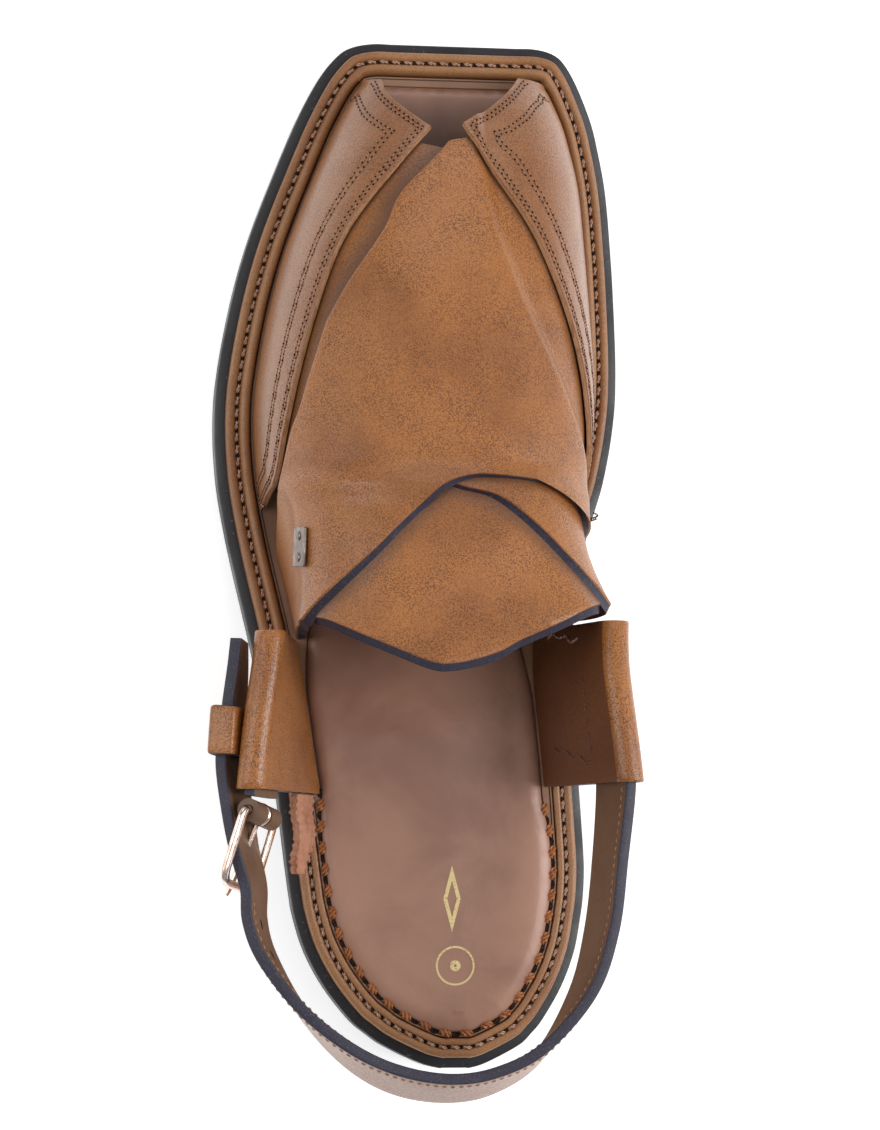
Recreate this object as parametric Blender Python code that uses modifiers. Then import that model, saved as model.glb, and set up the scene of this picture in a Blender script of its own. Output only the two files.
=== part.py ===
"""A left foot peshawari chappal: crossed vamp straps on a stitched sole, with a buckled heel strap.

Metres, +Z up, +Y towards the toe, +X towards the inner side of the foot. The origin lies on the
floor under the middle of the heel. Shares named "along" run from the back of the heel (0) to the
toe (1); shares named "girth" run over the last from the outer feather edge (-1) across the top (0)
to the inner feather edge (+1).
"""
import math

import bmesh
import bpy
import numpy as np
from mathutils import Matrix, Vector

# Driving sizes of the sole
SOLE_LENGTH = 0.307
BALL_WIDTH = 0.123
HEEL_BACK = 0.039
HEEL_HEIGHT = 0.012
HEEL_LENGTH = 0.080
HEEL_TAPER = 0.0025
OUTSOLE_THICK = 0.007
TOE_SPRING = 0.007
WELT_THICK = 0.0045
WELT_STRIP = 0.0024
LEDGE = 0.0033
GROOVE_WIDTH = 0.0014
GROOVE_DEPTH = 0.0010
BEAD_WIDTH = 0.0032
BEAD_RISE = 0.0019
SEAT_RIM_WIDTH = 0.0019
SEAT_RIM_RISE = 0.0004
RIM_THICK = 0.0042
BED_RISE = 0.0024
BED_CROWN = 0.0006
EDGE_ROUND = 0.0006

# Driving sizes of the upper
INSTEP_HEIGHT = 0.058
STRAP_A_THICK = 0.0030
STRAP_B_THICK = 0.0028
TONGUE_THICK = 0.0026
PANEL_THICK = 0.0017
TOE_CLOSE = 0.65
LAP = 0.0006
CLEAR = 0.0003
STAND_CLEAR = 0.0005
LAY_CLEAR = 0.0006

# Driving sizes of the side loops, the heel strap and its buckle
LOOP_WALL = 0.0022
TUNNEL_LOW = 0.0265
FLAP_LOW = 0.0080
HEEL_STRAP_WIDTH = 0.0200
HEEL_STRAP_THICK = 0.0033
HEEL_STRAP_HEIGHT = 0.0600
SLIDE_CLEAR = 0.00045
BAR_RADIUS = 0.0013
PIN_RADIUS = 0.0009
BUCKLE_REACH = 0.0215
BUCKLE_STANDOFF = 0.0040
BUCKLE_TURN = 0.25
BUCKLE_RISE = 0.03
STRAP_PASS = 0.0016
STRAP_CROSS = 0.0012
STRAP_DROP = 0.15
KEEPER_WALL = 0.0016
KEEPER_LENGTH = 0.0140
TAIL_LENGTH = 0.0230
TAIL_WIDTH = 0.0190
TAIL_THICK = 0.0020
ORNAMENT_LENGTH = 0.0115
ORNAMENT_WIDTH = 0.0065
ORNAMENT_THICK = 0.0012

# Sole outline: share of the sole's length, then shares of the ball width out to each side
OUTLINE = (
    # along, outer side, inner side
    (0.000, -0.010, 0.090),
    (0.005, 0.036, 0.130),
    (0.021, 0.120, 0.207),
    (0.047, 0.205, 0.268),
    (0.078, 0.266, 0.313),
    (0.112, 0.312, 0.345),
    (0.146, 0.339, 0.361),
    (0.189, 0.356, 0.370),
    (0.260, 0.379, 0.360),
    (0.330, 0.405, 0.348),
    (0.410, 0.441, 0.351),
    (0.500, 0.489, 0.386),
    (0.570, 0.519, 0.438),
    (0.630, 0.526, 0.465),
    (0.680, 0.515, 0.472),
    (0.750, 0.482, 0.467),
    (0.810, 0.440, 0.458),
    (0.870, 0.384, 0.442),
    (0.930, 0.322, 0.406),
    (0.965, 0.276, 0.368),
    (0.987, 0.232, 0.333),
    (0.996, 0.196, 0.302),
    (1.000, 0.146, 0.258),
)
RUNG_PITCH = 0.0082
WAIST = (0.27, 0.55)
SPRING_START = 0.78

# Sections of the last: height as a share of the instep height, how square the arch is, and how far
# each side leans out as a share of the ball width
SECTIONS = (
    # along, height, squareness, outer flare, inner flare
    (0.300, 0.97, 4.4, 0.11, 0.25),
    (0.380, 0.93, 4.4, 0.09, 0.25),
    (0.410, 0.93, 4.0, 0.06, 0.25),
    (0.440, 0.95, 3.4, 0.03, 0.21),
    (0.470, 0.96, 3.0, 0.01, 0.165),
    (0.500, 0.96, 2.8, 0.000, 0.125),
    (0.550, 0.92, 2.5, 0.000, 0.090),
    (0.650, 0.81, 2.3, 0.005, 0.045),
    (0.750, 0.69, 2.3, 0.010, 0.015),
    (0.850, 0.52, 2.3, 0.010, 0.010),
    (0.900, 0.39, 2.3, 0.000, 0.000),
    (0.930, 0.27, 2.3, 0.000, 0.000),
    (0.950, 0.16, 2.3, 0.000, 0.000),
    (0.965, 0.08, 2.3, 0.000, 0.000),
)

# Straps as strips between two edges, each edge a run of (along, girth) points
LOOP_FRONT = {-1: 0.4095, 1: 0.4225}
LOOP_REAR = {-1: 0.2620, 1: 0.2700}
A_END = 0.4130
B_END = 0.4265
STRAP_A = (
    # edge towards the toe, edge towards the heel, rows
    (((0.880, -0.08), (0.831, -0.256), (0.791, -0.300), (0.740, -0.408), (0.704, -0.476)),
     ((0.915, 1.0), (0.500, 1.0)), 12),
    (((0.704, -0.476), (0.662, -0.516), (0.625, -0.560), (0.604, -0.604), (0.575, -0.655), (0.552, -0.715)),
     ((0.500, 1.0), (0.497, 0.78), (0.509, 0.62), (0.533, 0.53), (0.546, 0.42), (0.551, 0.20),
      (0.548, 0.10), (0.534, 0.0), (0.499, -0.184), (0.456, -0.380), (A_END, -0.57)), 17),
    (((0.552, -0.715), (0.535, -0.80), (0.515, -0.90), (0.500, -1.0)),
     ((A_END, -0.57), (A_END, -1.0)), 4),
)
STRAP_B = (
    (((0.872, 0.05), (0.80, 0.13), (0.70, 0.30), (0.62, 0.46)),
     ((0.910, -1.0), (0.556, -1.0)), 11),
    (((0.62, 0.46), (0.56, 0.62), (0.535, 0.76)),
     ((0.556, -1.0), (0.560, -0.85), (0.563, -0.70), (0.562, -0.50), (0.556, -0.25), (0.550, -0.05),
      (0.541, 0.064), (0.530, 0.20), (0.492, 0.356), (0.443, 0.488), (B_END, 0.53)), 15),
    (((0.535, 0.76), (0.522, 0.88), (0.515, 0.98)),
     ((B_END, 0.53), (B_END, 0.98)), 4),
)
TONGUE_FRONT = 0.530
TONGUE_SIDE = 0.58
TONGUE = (
    (((TONGUE_FRONT, -0.45), (TONGUE_FRONT, 0.45)),
     ((0.4165, -TONGUE_SIDE), (0.4130, -0.50), (0.408, -0.44), (0.394, -0.31), (0.373, -0.10), (0.371, 0.03),
      (0.381, 0.16), (0.396, 0.236), (0.418, 0.376), (0.4270, 0.47), (0.4300, TONGUE_SIDE)), 14),
)
PANEL_OUTER = (
    (((0.947, -0.616), (0.921, -0.40), (0.895, -0.172)), ((0.950, -1.0), (0.925, -1.0)), 4),
    (((0.895, -0.172), (0.861, -0.288), (0.792, -0.456), (0.707, -0.540), (0.630, -0.605), (0.575, -0.69),
      (0.556, -0.76)), ((0.925, -1.0), (0.556, -1.0)), 14),
    (((0.556, -0.76), (0.547, -0.88), (0.541, -1.0)), ((0.556, -1.0), (0.5445, -1.0)), 3),
)
PANEL_INNER = (
    (((0.951, 0.480), (0.924, 0.25), (0.894, 0.0)), ((0.951, 1.0), (0.925, 1.0)), 4),
    (((0.894, 0.0), (0.844, 0.192), (0.787, 0.376), (0.703, 0.54), (0.62, 0.64), (0.57, 0.74)),
     ((0.925, 1.0), (0.570, 1.0)), 14),
    (((0.57, 0.74), (0.545, 0.88), (0.530, 1.0)), ((0.570, 1.0), (0.535, 1.0)), 4),
)

# Lean of each side loop, as rise over run, at its front and rear
LOOP_LEAN = {-1: (0.20, 0.50), 1: (0.27, 0.28)}

# Heel strap round the heel, from the inner loop to the buckle: shares of the ball width and of the
# sole's length from the origin, rise of its middle over the height that the strap keeps at the back, lean
HEEL_ROUTE = (
    # across, along, rise in strap widths, lean in degrees outward
    (0.366, 0.072, -0.02, 12.0),
    (0.345, 0.006, 0.00, 11.0),
    (0.300, -0.052, 0.01, 5.0),
    (0.200, -0.108, 0.02, -10.0),
    (0.090, -0.134, 0.02, -17.0),
    (-0.022, -0.141, 0.02, -18.0),
    (-0.145, -0.132, 0.01, -16.0),
    (-0.255, -0.108, 0.00, -8.0),
    (-0.360, -0.068, -0.02, 4.0),
    (-0.440, -0.020, -0.05, 14.0),
    (-0.468, 0.014, -0.10, 19.0),
)


def smooth(share):
    """Ease from 0 to 1."""
    share = np.clip(share, 0.0, 1.0)
    return share * share * (3.0 - 2.0 * share)


def spline(rows, steps):
    """Run a smooth curve through every row, with this many steps between rows."""
    rows = np.array(rows, float)
    padded = np.vstack([2 * rows[0] - rows[1], rows, 2 * rows[-1] - rows[-2]])
    out = []
    for i in range(1, len(padded) - 2):
        p0, p1, p2, p3 = padded[i - 1:i + 3]
        for j in range(steps):
            u = j / steps
            square = (2 * p0 - 5 * p1 + 4 * p2 - p3) * u ** 2
            cube = (3 * p1 - p0 - 3 * p2 + p3) * u ** 3
            out.append(0.5 * (2 * p1 + (p2 - p0) * u + square + cube))
    out.append(rows[-1])
    return np.array(out)


def even_points(rows, count, weights):
    """Resample a smooth run of points at even steps of weighted length."""
    fine = spline(rows, 12) if len(rows) > 2 else np.array(rows, float)
    steps = np.linalg.norm(np.diff(fine, axis=0) * weights, axis=1)
    reach = np.concatenate([[0.0], np.cumsum(steps)])
    wanted = np.linspace(0.0, reach[-1], count + 1)
    return np.stack([np.interp(wanted, reach, fine[:, i]) for i in range(fine.shape[1])], 1)


def along_to_y(along):
    """Turn a share of the sole's length into a distance along Y."""
    return along * SOLE_LENGTH - HEEL_BACK


def y_to_along(y):
    """Turn a distance along Y into a share of the sole's length."""
    return (y + HEEL_BACK) / SOLE_LENGTH


def outsole_bottom(y):
    """Height of the outsole's underside: over the heel, down through the waist, up at the toe."""
    along = y_to_along(np.asarray(y, float))
    waist = HEEL_HEIGHT * (1.0 - smooth((along - WAIST[0]) / (WAIST[1] - WAIST[0])))
    spring = TOE_SPRING * np.clip((along - SPRING_START) / (1.0 - SPRING_START), 0.0, None) ** 2
    return waist + spring


def outsole_top(y):
    """Height of the outsole's upper face."""
    return outsole_bottom(y) + OUTSOLE_THICK


def rim_top(y):
    """Height of the flat rim of the insole that the upper stands on."""
    return outsole_top(y) + RIM_THICK


def forefoot_share(along):
    """0 over the heel seat and 1 where the bead runs round the forefoot."""
    return smooth((np.asarray(along, float) - 0.30) / 0.10)


def welt_inner(along):
    """Inset of the welt's inner wall from the sole's outline."""
    start = LEDGE + WELT_STRIP + GROOVE_WIDTH
    return start + SEAT_RIM_WIDTH + (BEAD_WIDTH - SEAT_RIM_WIDTH) * forefoot_share(along)


def bead_rise(along):
    """Height of the welt's inner ridge over its strip."""
    return SEAT_RIM_RISE + (BEAD_RISE - SEAT_RIM_RISE) * forefoot_share(along)


def loop_inset(along):
    """Inset of the side loops' inner face at their foot."""
    return welt_inner(along) + CLEAR + LOOP_WALL + CLEAR


def last_inset(along):
    """Inset of the last's feather edge, which leaves room for a strap and a panel inside the welt."""
    along = np.asarray(along, float)
    side = STRAP_A_THICK + PANEL_THICK + LAY_CLEAR
    return welt_inner(along) + 2 * CLEAR + side * (1.0 - TOE_CLOSE * smooth((along - 0.985) / 0.015))


def bed_edge(along):
    """Inset of the padded bed, inside the straps and loops that stand on the rim."""
    along = np.asarray(along, float)
    seat = welt_inner(along) + 0.0018
    loops = loop_inset(along) + 0.0007
    front = last_inset(along) + 0.0010
    inset = seat + (loops - seat) * smooth((along - 0.225) / 0.03)
    return inset + (front - inset) * smooth((along - 0.37) / 0.03)


def outline_rows():
    """The sole's outline as matched points on its outer and inner sides, a rung pitch apart."""
    rows = []
    fine = spline(OUTLINE, 12)
    reals = fine * (SOLE_LENGTH, BALL_WIDTH, BALL_WIDTH)
    for i in range(len(OUTLINE) - 1):
        part = reals[12 * i:12 * i + 13]
        length = np.linalg.norm(np.diff(part[:, :2], axis=0), axis=1).sum()
        steps = max(1, round(length / RUNG_PITCH))
        wanted = 12 * i + np.arange(steps) * 12 / steps
        rows += [[np.interp(w, np.arange(len(fine)), fine[:, c]) for c in range(3)] for w in wanted]
    rows = np.array(rows + [list(OUTLINE[-1])])
    y = along_to_y(rows[:, 0])
    outer = np.stack([-rows[:, 1] * BALL_WIDTH, y], 1)
    inner = np.stack([rows[:, 2] * BALL_WIDTH, y], 1)
    return rows[:, 0], outer, inner


def keep_in_order(side):
    """Stop a side's points from folding back where the inset is close to the corner's radius."""
    side = side.copy()
    middle = len(side) // 2
    step = 1e-5
    for i in range(middle, len(side) - 1):
        side[i + 1, 1] = max(side[i + 1, 1], side[i, 1] + step)
    for i in range(middle, 0, -1):
        side[i - 1, 1] = min(side[i - 1, 1], side[i, 1] - step)
    return side


def rungs(inset):
    """Matched outer and inner points of the outline, moved in by an inset given as a function of along."""
    along, outer, inner = outline_rows()
    ring = np.vstack([outer, inner[::-1]])
    ahead = np.roll(ring, -1, 0) - ring
    ahead /= np.linalg.norm(ahead, axis=1)[:, None]
    tangent = ahead + np.roll(ahead, 1, 0)
    tangent /= np.linalg.norm(tangent, axis=1)[:, None]
    inward = np.stack([tangent[:, 1], -tangent[:, 0]], 1)
    amount = np.broadcast_to(inset(along) if callable(inset) else inset, along.shape)
    moved = ring + inward * np.concatenate([amount, amount[::-1]])[:, None]
    count = len(along)
    return keep_in_order(moved[:count]), keep_in_order(moved[count:][::-1])


def side_x(inset, y, side):
    """Place across of an inset line, at this distance along, on the outer (-1) or inner (+1) side."""
    points = rungs(inset)[0 if side < 0 else 1]
    return np.interp(y, points[:, 1], points[:, 0])


LAST_LINES = {}


def feather_x(y, side):
    """Place across of the last's feather edge."""
    if side not in LAST_LINES:
        LAST_LINES[side] = rungs(last_inset)[0 if side < 0 else 1]
    return np.interp(y, LAST_LINES[side][:, 1], LAST_LINES[side][:, 0])


SECTION_CURVES = spline(SECTIONS, 6)
# Share of the length at which the last's feather lines turn in round the toe
FEATHER_END = 0.945


def last_point(along, girth):
    """A point of the last: an arch over the sole at each station, leaning out where the collar opens."""
    along, girth = np.broadcast_arrays(np.asarray(along, float), np.asarray(girth, float))
    y = along_to_y(along)
    height, square, flare_outer, flare_inner = (
        np.interp(along, SECTION_CURVES[:, 0], SECTION_CURVES[:, i]) for i in range(1, 5))
    flare = np.where(girth < 0, flare_outer, flare_inner) * BALL_WIDTH
    outer, inner = feather_x(y, -1), feather_x(y, 1)
    middle, half = 0.5 * (outer + inner), 0.5 * (inner - outer)
    share = 1.0 - np.abs(girth)
    rise = share ** (square / 2)
    angle = rise / (rise + (1.0 - share) ** (square / 2)) * math.pi / 2
    up = np.sin(angle) ** (2 / square)
    out = np.clip(np.cos(angle), 0.0, 1.0) ** (2 / square) * (half + flare * up)
    z = rim_top(y) + STAND_CLEAR + up * height * INSTEP_HEIGHT
    return np.stack([middle + np.sign(girth) * out, y, z], -1)


def last_normal(along, girth):
    """The last's outward direction, from small steps to each side. It holds where the feather lines end."""
    step = 0.004
    along = np.minimum(along, FEATHER_END - step)
    a0, a1 = along - step, along + step
    g0, g1 = np.clip(girth - step * 3, -1, 1), np.clip(girth + step * 3, -1, 1)
    over = last_point(along, g1) - last_point(along, g0)
    ahead = last_point(a1, girth) - last_point(a0, girth)
    normal = np.cross(over, ahead)
    return normal / np.linalg.norm(normal, axis=-1, keepdims=True)


def lifted(along, girth, lift):
    """A point that stands off the last by this much leather."""
    point = last_point(along, girth) + last_normal(along, girth) * np.asarray(lift)[..., None]
    point[..., 2] = np.maximum(point[..., 2], rim_top(point[..., 1]) + STAND_CLEAR)
    return point


def tongue_share(along, girth):
    """1 over the tongue, falling to 0 beyond its front and sides."""
    front = smooth((TONGUE_FRONT + 0.038 - along) / 0.030)
    return front * smooth((TONGUE_SIDE + 0.12 - np.abs(girth)) / 0.12)


def strap_b_share(along, girth):
    """1 over strap B, falling to 0 beyond its heel edge and its inner edge."""
    heel_edge = np.array(sorted((g, a) for a, g in STRAP_B[1][1]))
    inner_edge = np.array(sorted([row for strip in STRAP_B for row in strip[0]]))
    behind = np.interp(girth, heel_edge[:, 0], heel_edge[:, 1])
    inside = np.interp(along, inner_edge[:, 0], inner_edge[:, 1])
    return smooth((along - behind + 0.034) / 0.026) * smooth((inside - girth + 0.095) / 0.075)


def lift_tongue(along, girth):
    """The tongue lies on the foot."""
    return np.zeros(np.broadcast(along, girth).shape)


def lift_b(along, girth):
    """Strap B lies on the foot and climbs over the tongue."""
    return (TONGUE_THICK - LAP) * tongue_share(along, girth)


def lift_a(along, girth):
    """Strap A climbs over the tongue and over strap B."""
    return lift_b(along, girth) + (STRAP_B_THICK - LAP) * strap_b_share(along, girth)


def lift_panel_outer(along, girth):
    """The outer panel lies on strap B."""
    return lift_b(along, girth) + STRAP_B_THICK + LAY_CLEAR


def lift_panel_inner(along, girth):
    """The inner panel lies on strap A."""
    return lift_a(along, girth) + STRAP_A_THICK + LAY_CLEAR


def start_scene():
    """Remove what the scene holds and make the two collections."""
    for thing in list(bpy.data.objects):
        bpy.data.objects.remove(thing, do_unlink=True)
    parts = bpy.data.collections.new("peshawari_chappal")
    cutters = bpy.data.collections.new("cutters")
    bpy.context.scene.collection.children.link(parts)
    bpy.context.scene.collection.children.link(cutters)
    return parts, cutters


PARTS, CUTTERS = start_scene()


def material(name, colour, roughness, metallic=0.0):
    """A plain surface colour for one sub-part."""
    made = bpy.data.materials.new(name)
    made.use_nodes = True
    shader = made.node_tree.nodes["Principled BSDF"]
    shader.inputs["Base Color"].default_value = (*colour, 1.0)
    shader.inputs["Roughness"].default_value = roughness
    shader.inputs["Metallic"].default_value = metallic
    return made


TAN = (0.36, 0.19, 0.08)


def add_object(name, points, faces, collection=None):
    """Make an object from points and faces, its faces pointing out."""
    mesh = bpy.data.meshes.new(name)
    mesh.from_pydata([tuple(map(float, p)) for p in points], [], [tuple(map(int, f)) for f in faces])
    shaped = bmesh.new()
    shaped.from_mesh(mesh)
    bmesh.ops.remove_doubles(shaped, verts=shaped.verts, dist=1e-6)
    bmesh.ops.recalc_face_normals(shaped, faces=shaped.faces)
    bmesh.ops.triangulate(shaped, faces=shaped.faces, quad_method="SHORT_EDGE")
    shaped.to_mesh(mesh)
    shaped.free()
    thing = bpy.data.objects.new(name, mesh)
    (collection or PARTS).objects.link(thing)
    return thing


def finish(thing, surface):
    """Give an object its material and smooth shading with sharp edges."""
    thing.data.materials.clear()
    thing.data.materials.append(surface)
    thing.data.shade_smooth()
    thing.data.set_sharp_from_angle(angle=math.radians(35))
    return thing


def boolean(thing, other, operation):
    """Join or cut one object with another and keep the result as a mesh."""
    change = thing.modifiers.new(operation.lower(), "BOOLEAN")
    change.operation = operation
    change.object = other
    change.solver = "EXACT"
    bpy.context.view_layer.update()
    held = thing.evaluated_get(bpy.context.evaluated_depsgraph_get())
    result = bpy.data.meshes.new_from_object(held)
    thing.modifiers.clear()
    thing.data = result
    bpy.data.objects.remove(other, do_unlink=True)
    return thing


def fill_pockets(thing):
    """Make the leather solid where overlapping layers close off a small pocket between them."""
    shaped = bmesh.new()
    shaped.from_mesh(thing.data)
    left = set(shaped.verts)
    shells = []
    while left:
        shell, edge = set(), [left.pop()]
        while edge:
            point = edge.pop()
            shell.add(point)
            near = {side.other_vert(point) for side in point.link_edges} & left
            left -= near
            edge += near
        shells.append(shell)
    outer = max(shells, key=len)
    bmesh.ops.delete(shaped, geom=[p for p in shaped.verts if p not in outer], context="VERTS")
    shaped.to_mesh(thing.data)
    shaped.free()
    return thing


def ring_at(inset, height, last=None):
    """A closed ring of the outline at an inset and at a height given as a function of Y."""
    outer, inner = rungs(inset)
    if last is not None:
        outer, inner = outer[:last], inner[:last]
    ring = np.vstack([outer, inner[::-1]])
    return np.column_stack([ring, height(ring[:, 1])])


def bands(levels, count, wrap):
    """Faces between rings of the same count; wrap joins the last ring back to the first."""
    faces = []
    pairs = range(levels if wrap else levels - 1)
    for i in pairs:
        low, high = i * count, (i + 1) % levels * count
        for j in range(count):
            k = (j + 1) % count
            faces.append((low + j, low + k, high + k, high + j))
    return faces


def plate(name, levels, last=None, crown=0.0, across=1):
    """A flat piece of the sole: rings from its underside up, closed below and above by rungs."""
    rings = [ring_at(inset, height, last) for inset, height in levels]
    count = len(rings[0])
    half = count // 2
    points = list(np.vstack(rings))
    faces = bands(len(rings), count, False)
    faces += [(k, count - 1 - k, count - 2 - k, k + 1) for k in range(half - 1)]
    top = (len(rings) - 1) * count
    rows = []
    for k in range(half):
        left, right = points[top + k], points[top + count - 1 - k]
        row = [top + k]
        if 0 < k < half - 1:
            for j in range(1, across):
                share = j / across
                middle = left + (right - left) * share
                middle[2] += crown * 4 * share * (1 - share)
                row.append(len(points))
                points.append(middle)
        rows.append(row + [top + count - 1 - k])
    for near, far in zip(rows, rows[1:]):
        if len(near) == len(far):
            faces += [(near[j], near[j + 1], far[j + 1], far[j]) for j in range(len(near) - 1)]
        else:
            faces.append(tuple(near + far[::-1]))
    return add_object(name, points, faces)


def above(offset, base=outsole_top):
    """A height function this far above a face of the sole."""
    return lambda y: base(y) + (offset(y_to_along(y)) if callable(offset) else offset)


def make_outsole():
    """The black outsole, whose upper edge shows as a ledge round the welt."""
    levels = (
        (2 * EDGE_ROUND, outsole_bottom),
        (0.2 * EDGE_ROUND, above(1.5 * EDGE_ROUND, outsole_bottom)),
        (0.2 * EDGE_ROUND, above(-1.2 * EDGE_ROUND)),
        (1.3 * EDGE_ROUND, above(0.0)),
    )
    return finish(plate("outsole", levels), material("black rubber", (0.02, 0.02, 0.025), 0.45))


def make_heel():
    """The heel block under the outsole, tapered to the floor."""
    along = outline_rows()[0]
    last = int(np.searchsorted(along, (HEEL_LENGTH / SOLE_LENGTH)))
    levels = (
        (HEEL_TAPER + EDGE_ROUND, lambda y: np.zeros_like(y)),
        (HEEL_TAPER, lambda y: np.full_like(y, EDGE_ROUND)),
        (2 * EDGE_ROUND, lambda y: np.full_like(y, HEEL_HEIGHT - CLEAR)),
    )
    return finish(plate("heel", levels, last), material("heel rubber", (0.025, 0.025, 0.03), 0.5))


def make_welt():
    """The welt: a flat strip, a stitching groove and a round bead, as one ring."""
    groove = LEDGE + WELT_STRIP
    bead = groove + GROOVE_WIDTH

    def in_bead(share):
        return lambda along: bead + (welt_inner(along) - bead) * share

    def ridge(share):
        return above(lambda along: WELT_THICK + bead_rise(along) * share)

    levels = (
        (LEDGE, above(CLEAR)),
        (LEDGE, above(WELT_THICK - EDGE_ROUND)),
        (LEDGE + EDGE_ROUND, above(WELT_THICK)),
        (groove, above(WELT_THICK)),
        (groove + 0.5 * GROOVE_WIDTH, above(WELT_THICK - GROOVE_DEPTH)),
        (in_bead(0.0), ridge(0.25)),
        (in_bead(0.35), ridge(1.0)),
        (in_bead(0.75), ridge(0.9)),
        (in_bead(1.0), ridge(0.0)),
        (welt_inner, above(CLEAR)),
    )
    rings = [ring_at(inset, height) for inset, height in levels]
    thing = add_object("welt", np.vstack(rings), bands(len(rings), len(rings[0]), True))
    return finish(thing, material("welt leather", (0.30, 0.16, 0.08), 0.5))


def make_insole():
    """The insole: a flat rim that the upper stands on, and the padded bed inside it."""
    def out(extra):
        return lambda along: welt_inner(along) + CLEAR + extra

    def bed(extra):
        return lambda along: bed_edge(along) + extra

    levels = (
        (out(0.0), above(CLEAR)),
        (out(0.0), above(RIM_THICK)),
        (bed(0.0), above(RIM_THICK)),
        (bed(0.15 * BED_RISE), above(RIM_THICK + 0.6 * BED_RISE)),
        (bed(0.9 * BED_RISE), above(RIM_THICK + BED_RISE)),
    )
    thing = plate("insole", levels, crown=BED_CROWN, across=3)
    return finish(thing, material("insole leather", (0.26, 0.15, 0.10), 0.4))


def patch(name, strips, lift, thick, across, collection=None):
    """A sheet of leather on the last, between its toe edge and its heel edge, closed on all sides."""
    weights = np.array([SOLE_LENGTH, 0.75 * BALL_WIDTH])
    front, back = [], []
    for edge_front, edge_back, count in strips:
        front.append(even_points(edge_front, count, weights)[0 if not front else 1:])
        back.append(even_points(edge_back, count, weights)[0 if not back else 1:])
    front, back = np.vstack(front), np.vstack(back)
    share = np.linspace(0.0, 1.0, across + 1)[None, :, None]
    flat = front[:, None, :] * (1 - share) + back[:, None, :] * share
    along, girth = flat[..., 0], flat[..., 1]
    low = lift(along, girth)
    inside, outside = lifted(along, girth, low), lifted(along, girth, low + thick)
    rows, cols = along.shape
    points = np.vstack([inside.reshape(-1, 3), outside.reshape(-1, 3)])
    skin = rows * cols

    def at(i, j, top):
        return i * cols + j + (skin if top else 0)

    faces = []
    for i in range(rows - 1):
        for j in range(cols - 1):
            faces.append((at(i, j, 0), at(i, j + 1, 0), at(i + 1, j + 1, 0), at(i + 1, j, 0)))
            faces.append((at(i, j, 1), at(i + 1, j, 1), at(i + 1, j + 1, 1), at(i, j + 1, 1)))
    for i in range(rows - 1):
        for j in (0, cols - 1):
            faces.append((at(i, j, 0), at(i + 1, j, 0), at(i + 1, j, 1), at(i, j, 1)))
    for j in range(cols - 1):
        for i in (0, rows - 1):
            faces.append((at(i, j, 0), at(i, j + 1, 0), at(i, j + 1, 1), at(i, j, 1)))
    return add_object(name, points, faces, collection)


def make_upper():
    """The upper: strap A over strap B over the tongue, joined where they cross."""
    upper = patch("upper", STRAP_A, lift_a, STRAP_A_THICK, 18)
    boolean(upper, patch("strap_b", STRAP_B, lift_b, STRAP_B_THICK, 16, CUTTERS), "UNION")
    boolean(upper, patch("tongue", TONGUE, lift_tongue, TONGUE_THICK, 9, CUTTERS), "UNION")
    return finish(fill_pockets(upper), material("upper leather", TAN, 0.45))


def make_panels():
    """The two stitched side panels that lie over the straps' lasted margins."""
    leather = material("panel leather", (0.34, 0.18, 0.08), 0.42)
    finish(patch("panel_lateral", PANEL_OUTER, lift_panel_outer, PANEL_THICK, 8), leather)
    finish(patch("panel_medial", PANEL_INNER, lift_panel_inner, PANEL_THICK, 8), leather)


def tunnel_gap():
    """Width of a side loop's tunnel, which the heel strap slides in."""
    return HEEL_STRAP_THICK + 2 * SLIDE_CLEAR


def tunnel_height():
    """Height of a side loop's tunnel."""
    return HEEL_STRAP_WIDTH + 2 * SLIDE_CLEAR


def loop_frame(side, along):
    """Foot of a side loop's inner face, its direction up the wall and its direction outward."""
    y = along_to_y(along)
    foot = np.array([side_x(loop_inset, y, side), y, rim_top(y) + CLEAR])
    front, rear = LOOP_FRONT[side], LOOP_REAR[side]
    share = (along - rear) / (front - rear)
    lean = LOOP_LEAN[side][1] + (LOOP_LEAN[side][0] - LOOP_LEAN[side][1]) * share
    up = np.array([side * lean, 0.0, 1.0]) / math.hypot(lean, 1.0)
    out = np.array([side * up[2], 0.0, -side * up[0]])
    foot[2] += STAND_CLEAR - CLEAR + LOOP_WALL * abs(up[0])
    return foot, up, out


def strap_level(side, along):
    """Distance up a side loop's wall to the middle of its tunnel."""
    return TUNNEL_LOW + 0.5 * tunnel_height() + 0.004 * (1.0 - along / LOOP_FRONT[side])


def tunnel_centre(side, along, beyond=0.0):
    """Middle of a side loop's tunnel, or a point this far outside it."""
    foot, up, out = loop_frame(side, along)
    return foot + up * strap_level(side, along) + out * (LOOP_WALL + 0.5 * tunnel_gap() + beyond)


def loop_profile(side, along, hole):
    """Section of a side loop, or of its tunnel, across the shoe."""
    foot, up, out = loop_frame(side, along)
    gap, wall = tunnel_gap(), LOOP_WALL
    middle = strap_level(side, along)
    low, high = middle - 0.5 * tunnel_height(), middle + 0.5 * tunnel_height()
    if hole:
        marks = [(wall, low), (wall, high), (wall + gap, high), (wall + gap, low)]
    else:
        radius = wall + 0.5 * gap
        centre = high + wall - radius
        marks = [(wall, 0.0), (0.0, 0.0), (0.0, 0.5 * low), (0.0, low), (0.0, middle), (0.0, centre)]
        for turn in (150, 120, 90, 60, 30):
            angle = math.radians(turn)
            marks.append((radius + radius * math.cos(angle), centre + radius * math.sin(angle)))
        marks += [(2 * radius, centre), (2 * radius, middle), (2 * radius, low)]
        marks += [(2 * wall, low - gap), (2 * wall, FLAP_LOW), (wall, FLAP_LOW)]
    return [foot + out * n + up * w for n, w in marks]


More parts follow.
